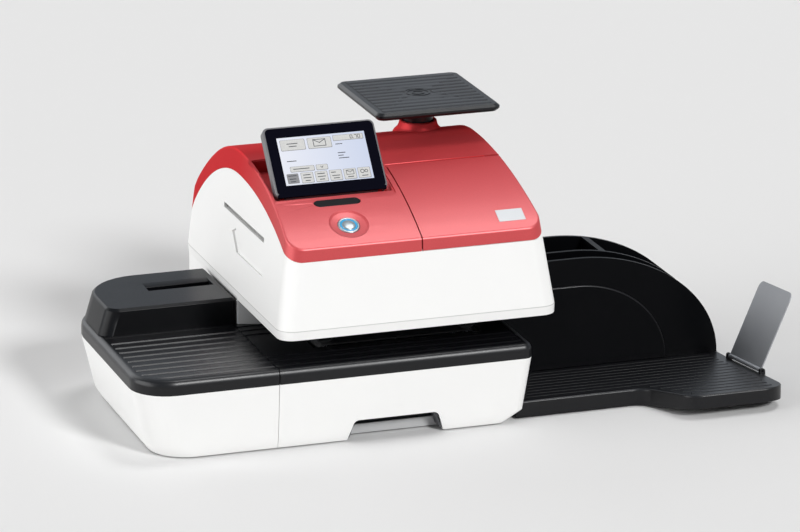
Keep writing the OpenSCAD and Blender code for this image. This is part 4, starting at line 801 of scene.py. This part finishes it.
# Ribs by Geometry Nodes: every point of the carrier holds where its rib starts and ends
def ribTree():
    tree = bpy.data.node_groups.new("ribRow", "GeometryNodeTree")
    inputs = dict(Points="Geometry", Width="Float", Height="Float", Taper="Float", Sides="Int", Soft="Bool",
                  Finish="Material")
    for name, kind in inputs.items():
        tree.interface.new_socket(name, in_out="INPUT", socket_type="NodeSocket" + kind)
    tree.interface.new_socket("Ribs", in_out="OUTPUT", socket_type="NodeSocketGeometry")

    def add(kind, settings=None, values=None):
        n = tree.nodes.new(kind)
        for key, value in (settings or {}).items():
            setattr(n, key, value)
        for key, value in (values or {}).items():
            if isinstance(value, bpy.types.NodeSocket):
                tree.links.new(value, n.inputs[key])
            else:
                n.inputs[key].default_value = value
        return n

    def maths(op, a, b):
        return add("ShaderNodeMath", {"operation": op}, {0: a, 1: b}).outputs[0]

    def stored(name):
        return add("GeometryNodeInputNamedAttribute", {"data_type": "FLOAT"}, {"Name": name}).outputs[0]

    given = add("NodeGroupInput").outputs
    line = add("GeometryNodeCurvePrimitiveLine", {}, {"Start": (0, 0, 0), "End": (1, 0, 0)})
    steps = add("GeometryNodeResampleCurve", {}, {"Curve": line.outputs[0], "Count": ribSteps})
    spread = add("GeometryNodeInstanceOnPoints", {},
                 {"Points": given["Points"], "Instance": steps.outputs[0]})
    lines = add("GeometryNodeRealizeInstances", {}, {"Geometry": spread.outputs[0]})
    at = add("ShaderNodeSeparateXYZ", {}, {0: add("GeometryNodeInputPosition").outputs[0]}).outputs
    start = stored("ribStart")
    span = maths("SUBTRACT", stored("ribEnd"), start)
    # The steps crowd towards both ends, where the rib thins out to a round tip
    angle = maths("MULTIPLY", at["X"], math.pi)
    wave = add("ShaderNodeMath", {"operation": "COSINE"}, {0: angle}).outputs[0]
    share = maths("MULTIPLY", maths("SUBTRACT", 1.0, wave), 0.5)
    fromEnd = maths("MULTIPLY", maths("MINIMUM", share, maths("SUBTRACT", 1.0, share)), span)
    rise = maths("ADD", maths("DIVIDE", fromEnd, given["Taper"]), ribTip)
    thick = maths("POWER", maths("MINIMUM", rise, 1.0), 0.5)
    sized = add("GeometryNodeSetCurveRadius", {}, {"Curve": lines.outputs[0], "Radius": thick})
    there = add("ShaderNodeCombineXYZ", {}, {"X": maths("ADD", start, maths("MULTIPLY", share, span)),
                                             "Y": at["Y"], "Z": at["Z"]})
    laid = add("GeometryNodeSetPosition", {}, {"Geometry": sized.outputs[0], "Position": there.outputs[0]})
    level = add("GeometryNodeSetCurveNormal", {"mode": "Z_UP"}, {"Curve": laid.outputs[0]})
    ring = add("GeometryNodeCurvePrimitiveCircle", {}, {"Resolution": given["Sides"], "Radius": 1.0})
    size = add("ShaderNodeCombineXYZ", {}, {"X": maths("MULTIPLY", given["Width"], 0.5),
                                            "Y": given["Height"], "Z": 1.0})
    shape = add("GeometryNodeTransform", {}, {"Geometry": ring.outputs[0], "Scale": size.outputs[0]})
    swept = add("GeometryNodeCurveToMesh", {},
                {"Curve": level.outputs[0], "Profile Curve": shape.outputs[0], "Fill Caps": True})
    smooth = add("GeometryNodeSetShadeSmooth", {},
                 {"Geometry": swept.outputs[0], "Shade Smooth": given["Soft"]})
    dressed = add("GeometryNodeSetMaterial", {},
                  {"Geometry": smooth.outputs[0], "Material": given["Finish"]})
    out = add("NodeGroupOutput")
    tree.links.new(dressed.outputs[0], out.inputs["Ribs"])
    return tree


ribs = ribTree()


# rows: (start x, end x, y, z) in machine millimetres, the x measured on the untilted field
def ribField(name, body, look, rows, size, lay=None):
    mesh = bpy.data.meshes.new(name)
    mesh.from_pydata([(0, (y - midY) / metre, z / metre) for a, b, y, z in rows], [], [])
    for i, key in enumerate(("ribStart", "ribEnd")):
        mesh.attributes.new(key, "FLOAT", "POINT")
        mesh.attributes[key].data.foreach_set("value", [(r[i] - midX) / metre for r in rows])
    o = addObject(name, mesh)
    mod = o.modifiers.new("ribs", "NODES")
    mod.node_group = ribs
    wanted = {"Width": size["wide"] / metre, "Height": size["tall"] / metre, "Taper": size["taper"] / metre,
              "Sides": size["sides"], "Soft": size["soft"], "Finish": looks[look]}
    for item in ribs.interface.items_tree:
        if item.in_out == "INPUT" and item.name in wanted:
            mod[item.identifier] = wanted[item.name]
    done = bake(o)
    if lay is not None:
        done.transform(lay)
    o.data = done
    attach(o, body)


def feedRibs():
    rows = []
    inset = deck["rim"] + deck["ribEnd"]
    y = deck["first"]
    while y <= deck["blockFront"] - deck["rim"]:
        left = deck["feedLeft"] + inset
        if y < deck["corner"]:
            reach = math.sqrt((deck["corner"] - inset) ** 2 - (deck["corner"] - y) ** 2)
            left = deck["feedLeft"] + deck["corner"] - reach
        rows.append((left, deck["feedEnd"], y, deck["field"]))
        y += deck["pitch"]
    return rows


def baseRibs():
    rows = []
    right = deck["baseRight"] - deck["rim"] - deck["ribEnd"]
    y = deck["first"]
    while y <= deck["guide"] - deck["rim"]:
        if y + deck["ribWide"] < deck["belt"][0] or y - deck["ribWide"] > deck["belt"][1]:
            rows.append((deck["baseStart"], right, y, deck["field"]))
        y += deck["pitch"]
    return rows


def panRibs():
    pitch = (pan["deep"] - pan["ends"]) / pan["ribs"]
    x0 = pan["x"] - pan["wide"] / 2 + pan["margin"]
    x1 = pan["x"] + pan["wide"] / 2 - pan["margin"]
    rows = []
    for i in range(pan["ribs"]):
        dy = (i - (pan["ribs"] - 1) / 2) * pitch
        spans = [(x0, x1)]
        if abs(dy) < pan["ring"]:
            gap = math.sqrt(pan["ring"] ** 2 - dy ** 2) + pan["ringGap"]
            spans = [(x0, pan["x"] - gap), (pan["x"] + gap, x1)]
        rows += [(a, b, pan["y"] + dy, pan["top"]) for a, b in spans]
    return rows, pitch


def trayRibs():
    fall = math.radians(tray["fall"])
    rows = []
    for i in range(1, tray["ribs"] + 1):
        along = i * tray["pitch"]
        y = tray["wall"] - along * math.cos(fall)
        if y < tray["jut"] + tray["edge"] + tray["jutGap"]:
            continue
        x0 = tray["x0"] + tray["edge"] + tray["ribGap"]
        if y < tray["front"] + tray["edge"]:
            step = tray["x1"] - tray["jutLong"]
            share = (tray["front"] - y) / (tray["front"] - tray["jut"])
            x0 = step - tray["slant"] * (1 - share) + tray["edge"] + tray["jutGap"]
        rows.append((x0, tray["x1"] - tray["stopSide"], tray["wall"] - along, 0))
    lay = (Matrix.Translation(toFrame(midX, tray["wall"], tray["foot"])) @
           Matrix.Rotation(-fall, 4, "X") @
           Matrix.Translation(-toFrame(midX, tray["wall"], 0)))
    return rows, lay


panRows, panPitch = panRibs()
trayRows, trayLay = trayRibs()
deckRib = dict(wide=3.0, tall=1.0, taper=2, sides=4, soft=False)
panRib = dict(wide=panPitch * pan["ribShare"], tall=pan["ribTall"], taper=4, sides=16, soft=True)
trayRib = dict(wide=3.0, tall=0.5, taper=4, sides=16, soft=True)
ribField("feedDeckRibs", "machine", "black_plastic", feedRibs(), deckRib)
ribField("baseDeckRibs", "machine", "black_plastic", baseRibs(), deckRib)
ribField("weighPanRibs", "pan", "black_plastic", panRows, panRib)
ribField("catchTrayRibs", "machine", "block_black", trayRows, trayRib, trayLay)
print("stage: ribs")


def lathe(name, body, slot, profile, place, stands=()):
    mesh = turned(name, profile, place)
    soften(mesh)
    mesh.materials.append(looks[slot])
    addPiece(name, mesh, body, stands)


def onButton(u, v, w):
    return onCover(button["x"], button["y"], u, v, w + button["top"])


cap = [(0, 0.75), (2.5, 0.7), (4.6, 0.5), (6.2, 0.16), (6.9, -0.12), (7.18, -0.5), (7.2, -0.95),
       (9.2, -0.95), (9.22, -0.4), (9.4, -0.08), (9.8, 0.06), (10.5, 0.05), (11.1, -0.15), (11.42, -0.55),
       (11.5, -1.0), (11.5, -7.4), (0, -7.4)]
glowRing = [(7.23, -0.93), (7.25, -0.45), (7.5, -0.16), (7.9, 0.02), (8.2, 0.06), (8.5, 0.02),
            (8.9, -0.16), (9.15, -0.45), (9.17, -0.93)]
lathe("powerCap", "power_key", "silver_button", cap, onButton, ["power_button"])
lathe("powerRing", "power_key", "blue_light", glowRing, onButton, ["button_light_ring"])
lathe("scaleCollar", "machine", "red_cover", collarRing, onStem)
print("stage: button and collar")


# Flat forms on the display: an outline between two heights, a rounded plate and a straight bar
def slab(bm, outline, w0, w1):
    low = [bm.verts.new(onDisplay(u, v, w0)) for u, v in outline]
    high = [bm.verts.new(onDisplay(u, v, w1)) for u, v in outline]
    bm.faces.new(high)
    bm.faces.new(low[::-1])
    for i in range(len(outline)):
        j = (i + 1) % len(outline)
        bm.faces.new((low[i], low[j], high[j], high[i]))


def plate(bm, u0, v0, u1, v1, r, w0, w1, steps=4):
    outline = []
    corners = ((u1 - r, v1 - r), (u0 + r, v1 - r), (u0 + r, v0 + r), (u1 - r, v0 + r))
    for quarter, (cu, cv) in enumerate(corners):
        for k in range(steps + 1):
            t = math.radians(90 * quarter + 90 / steps * k)
            outline.append((cu + r * math.cos(t), cv + r * math.sin(t)))
    slab(bm, outline, w0, w1)


def bar(bm, a, b, wide, w0, w1):
    d = Vector((b[0] - a[0], b[1] - a[1])).normalized() * wide / 2
    n = Vector((-d.y, d.x))
    slab(bm, [(a[0] - d.x - n.x, a[1] - d.y - n.y), (b[0] + d.x - n.x, b[1] + d.y - n.y),
              (b[0] + d.x + n.x, b[1] + d.y + n.y), (a[0] - d.x + n.x, a[1] - d.y + n.y)], w0, w1)


def displayPiece(name, bm, look):
    mesh = meshOf(name, bm)
    mesh.materials.append(look)
    addPiece(name, mesh, "display")


# What the lit panel shows, from its lower left corner: plain tiles (left, low, right, high, corner), bars
# for lines of words (left, right, height), an arrow, blank envelopes, two rings and a value in plain strokes
shown = dict(face=5.8, u0=13, v0=6.5, shadeTop=0.03, tileTop=0.06, inkTop=0.09,
             shadeEdge=(0.4, 0.6, 0.5, 0.3), word=0.85, arrow=0.6, ring=0.6, ringSteps=20)
bigTiles = [(3, 39.5, 29, 51, 1.2), (32.5, 39.5, 57.5, 51, 1.2), (60.5, 46, 92.5, 51.5, 0.8),
            (8, 15, 33.5, 20.5, 1.4), (36, 15, 48, 20.5, 1.4)]
tileRow = dict(count=6, left=2.5, pitch=15.4, wide=12.6, low=1.8, high=13, round=1.0)
words = [(10, 21, 46.6), (12, 19.5, 43.6), (62, 66, 41.8), (67.2, 68.6, 41.8), (6.5, 16, 27),
         (62.5, 70, 31.8), (62.5, 67.5, 28.8), (62.5, 73, 25.8), (11.5, 28, 17.8), (4.6, 12.6, 10.6),
         (5.4, 11.6, 7.0), (6.2, 10.8, 4.0), (20.4, 27.6, 10.4), (20.4, 28.2, 7.2), (22, 26.6, 4.0),
         (35.8, 43, 10.4), (35.8, 43.6, 7.2), (37.4, 42, 4.0), (50.6, 55, 10.6), (51.4, 59, 6.8),
         (52.4, 58.2, 4.0), (68, 73.4, 4.0), (83.2, 89, 4.0)]
arrow = [((40.6, 18.8), (42, 17.0)), ((42, 17.0), (43.4, 18.8))]
envelopes = [(38.5, 41.6, 51.5, 49.0, 0.7), (66.8, 6.6, 74.6, 11.4, 0.5)]
twoRings = [((84.0, 9.0), 1.9), ((88.2, 9.0), 1.5)]
reading = dict(text="0.70", x=79.0, foot=47.0, tall=3.6, wide=2.2, stroke=0.55, gap=1.2, dot=0.6,
               dotLong=0.02, dotStep=1.4)
segments = {"0": "abcdef", "7": "abc"}


def screenMarks():
    u0, v0, w = shown["u0"], shown["v0"], shown["face"]
    tiles, shade, ink = bmesh.new(), bmesh.new(), bmesh.new()

    def tile(bm, a, b, c, d, r, top):
        plate(bm, u0 + a, v0 + b, u0 + c, v0 + d, r, w, w + top)

    def stroke(a, b, wide):
        bar(ink, (u0 + a[0], v0 + a[1]), (u0 + b[0], v0 + b[1]), wide, w, w + shown["inkTop"])

    lefts = [tileRow["left"] + tileRow["pitch"] * k for k in range(tileRow["count"])]
    row = [(a, tileRow["low"], a + tileRow["wide"], tileRow["high"], tileRow["round"]) for a in lefts]
    edge = shown["shadeEdge"]
    for a, b, c, d, r in bigTiles + row[1:]:
        tile(shade, a - edge[0], b - edge[1], c + edge[2], d + edge[3], r, shown["shadeTop"])
        tile(tiles, a, b, c, d, r, shown["tileTop"])
    tile(shade, *row[0], shown["tileTop"])
    for a, b, y in words:
        stroke((a, y), (b, y), shown["word"])
    for a, b in arrow:
        stroke(a, b, shown["arrow"])
    for x0, y0, x1, y1, wide in envelopes:
        corners = [(x0, y0), (x1, y0), (x1, y1), (x0, y1)]
        flap = ((x0 + x1) / 2, (y0 + y1) / 2)
        sides = list(zip(corners, corners[1:] + corners[:1]))
        for a, b in sides + [(corners[3], flap), (flap, corners[2])]:
            stroke(a, b, wide)
    turns = [2 * math.pi * i / shown["ringSteps"] for i in range(shown["ringSteps"] + 1)]
    for c, r in twoRings:
        points = [(c[0] + r * math.cos(t), c[1] + r * math.sin(t)) for t in turns]
        for a, b in zip(points, points[1:]):
            stroke(a, b, shown["ring"])
    left, low = reading["x"], reading["foot"]
    mid, high = low + reading["tall"] / 2, low + reading["tall"]
    for sign in reading["text"]:
        if sign == ".":
            stroke((left, low), (left + reading["dotLong"], low), reading["dot"])
            left += reading["dotStep"]
            continue
        right = left + reading["wide"]
        strokes = {"a": ((left, high), (right, high)), "b": ((right, high), (right, mid)),
                   "c": ((right, mid), (right, low)), "d": ((left, low), (right, low)),
                   "e": ((left, low), (left, mid)), "f": ((left, mid), (left, high))}
        for k in segments[sign]:
            stroke(*strokes[k], reading["stroke"])
        left = right + reading["gap"]
    return {"screenShade": shade, "screenTiles": tiles, "screenInk": ink}


markLooks = {
    "screenTiles": glowLook("tileLight", (0.76, 0.76, 0.74), 0.95, 900),
    "screenShade": glowLook("tileShade", (0.30, 0.30, 0.31), 0.95, 900),
    "screenInk": glowLook("screenInk", (0.035, 0.037, 0.05), 0.9, 900),
}
for markName, bm in screenMarks().items():
    displayPiece(markName, bm, markLooks[markName])

# The bezel runs on over the foot of the frame
strip = dict(side=2.0, low=-6.3, high=-2.5, round=0.8, back=3.5, proud=0.02)
foot = bmesh.new()
plate(foot, strip["side"], strip["low"], display["wide"] - strip["side"], strip["high"], strip["round"],
      strip["back"], display["thick"] / 2 + strip["proud"])
displayPiece("bezelFoot", foot, looks["bezel_gloss"])
print("stage: screen")
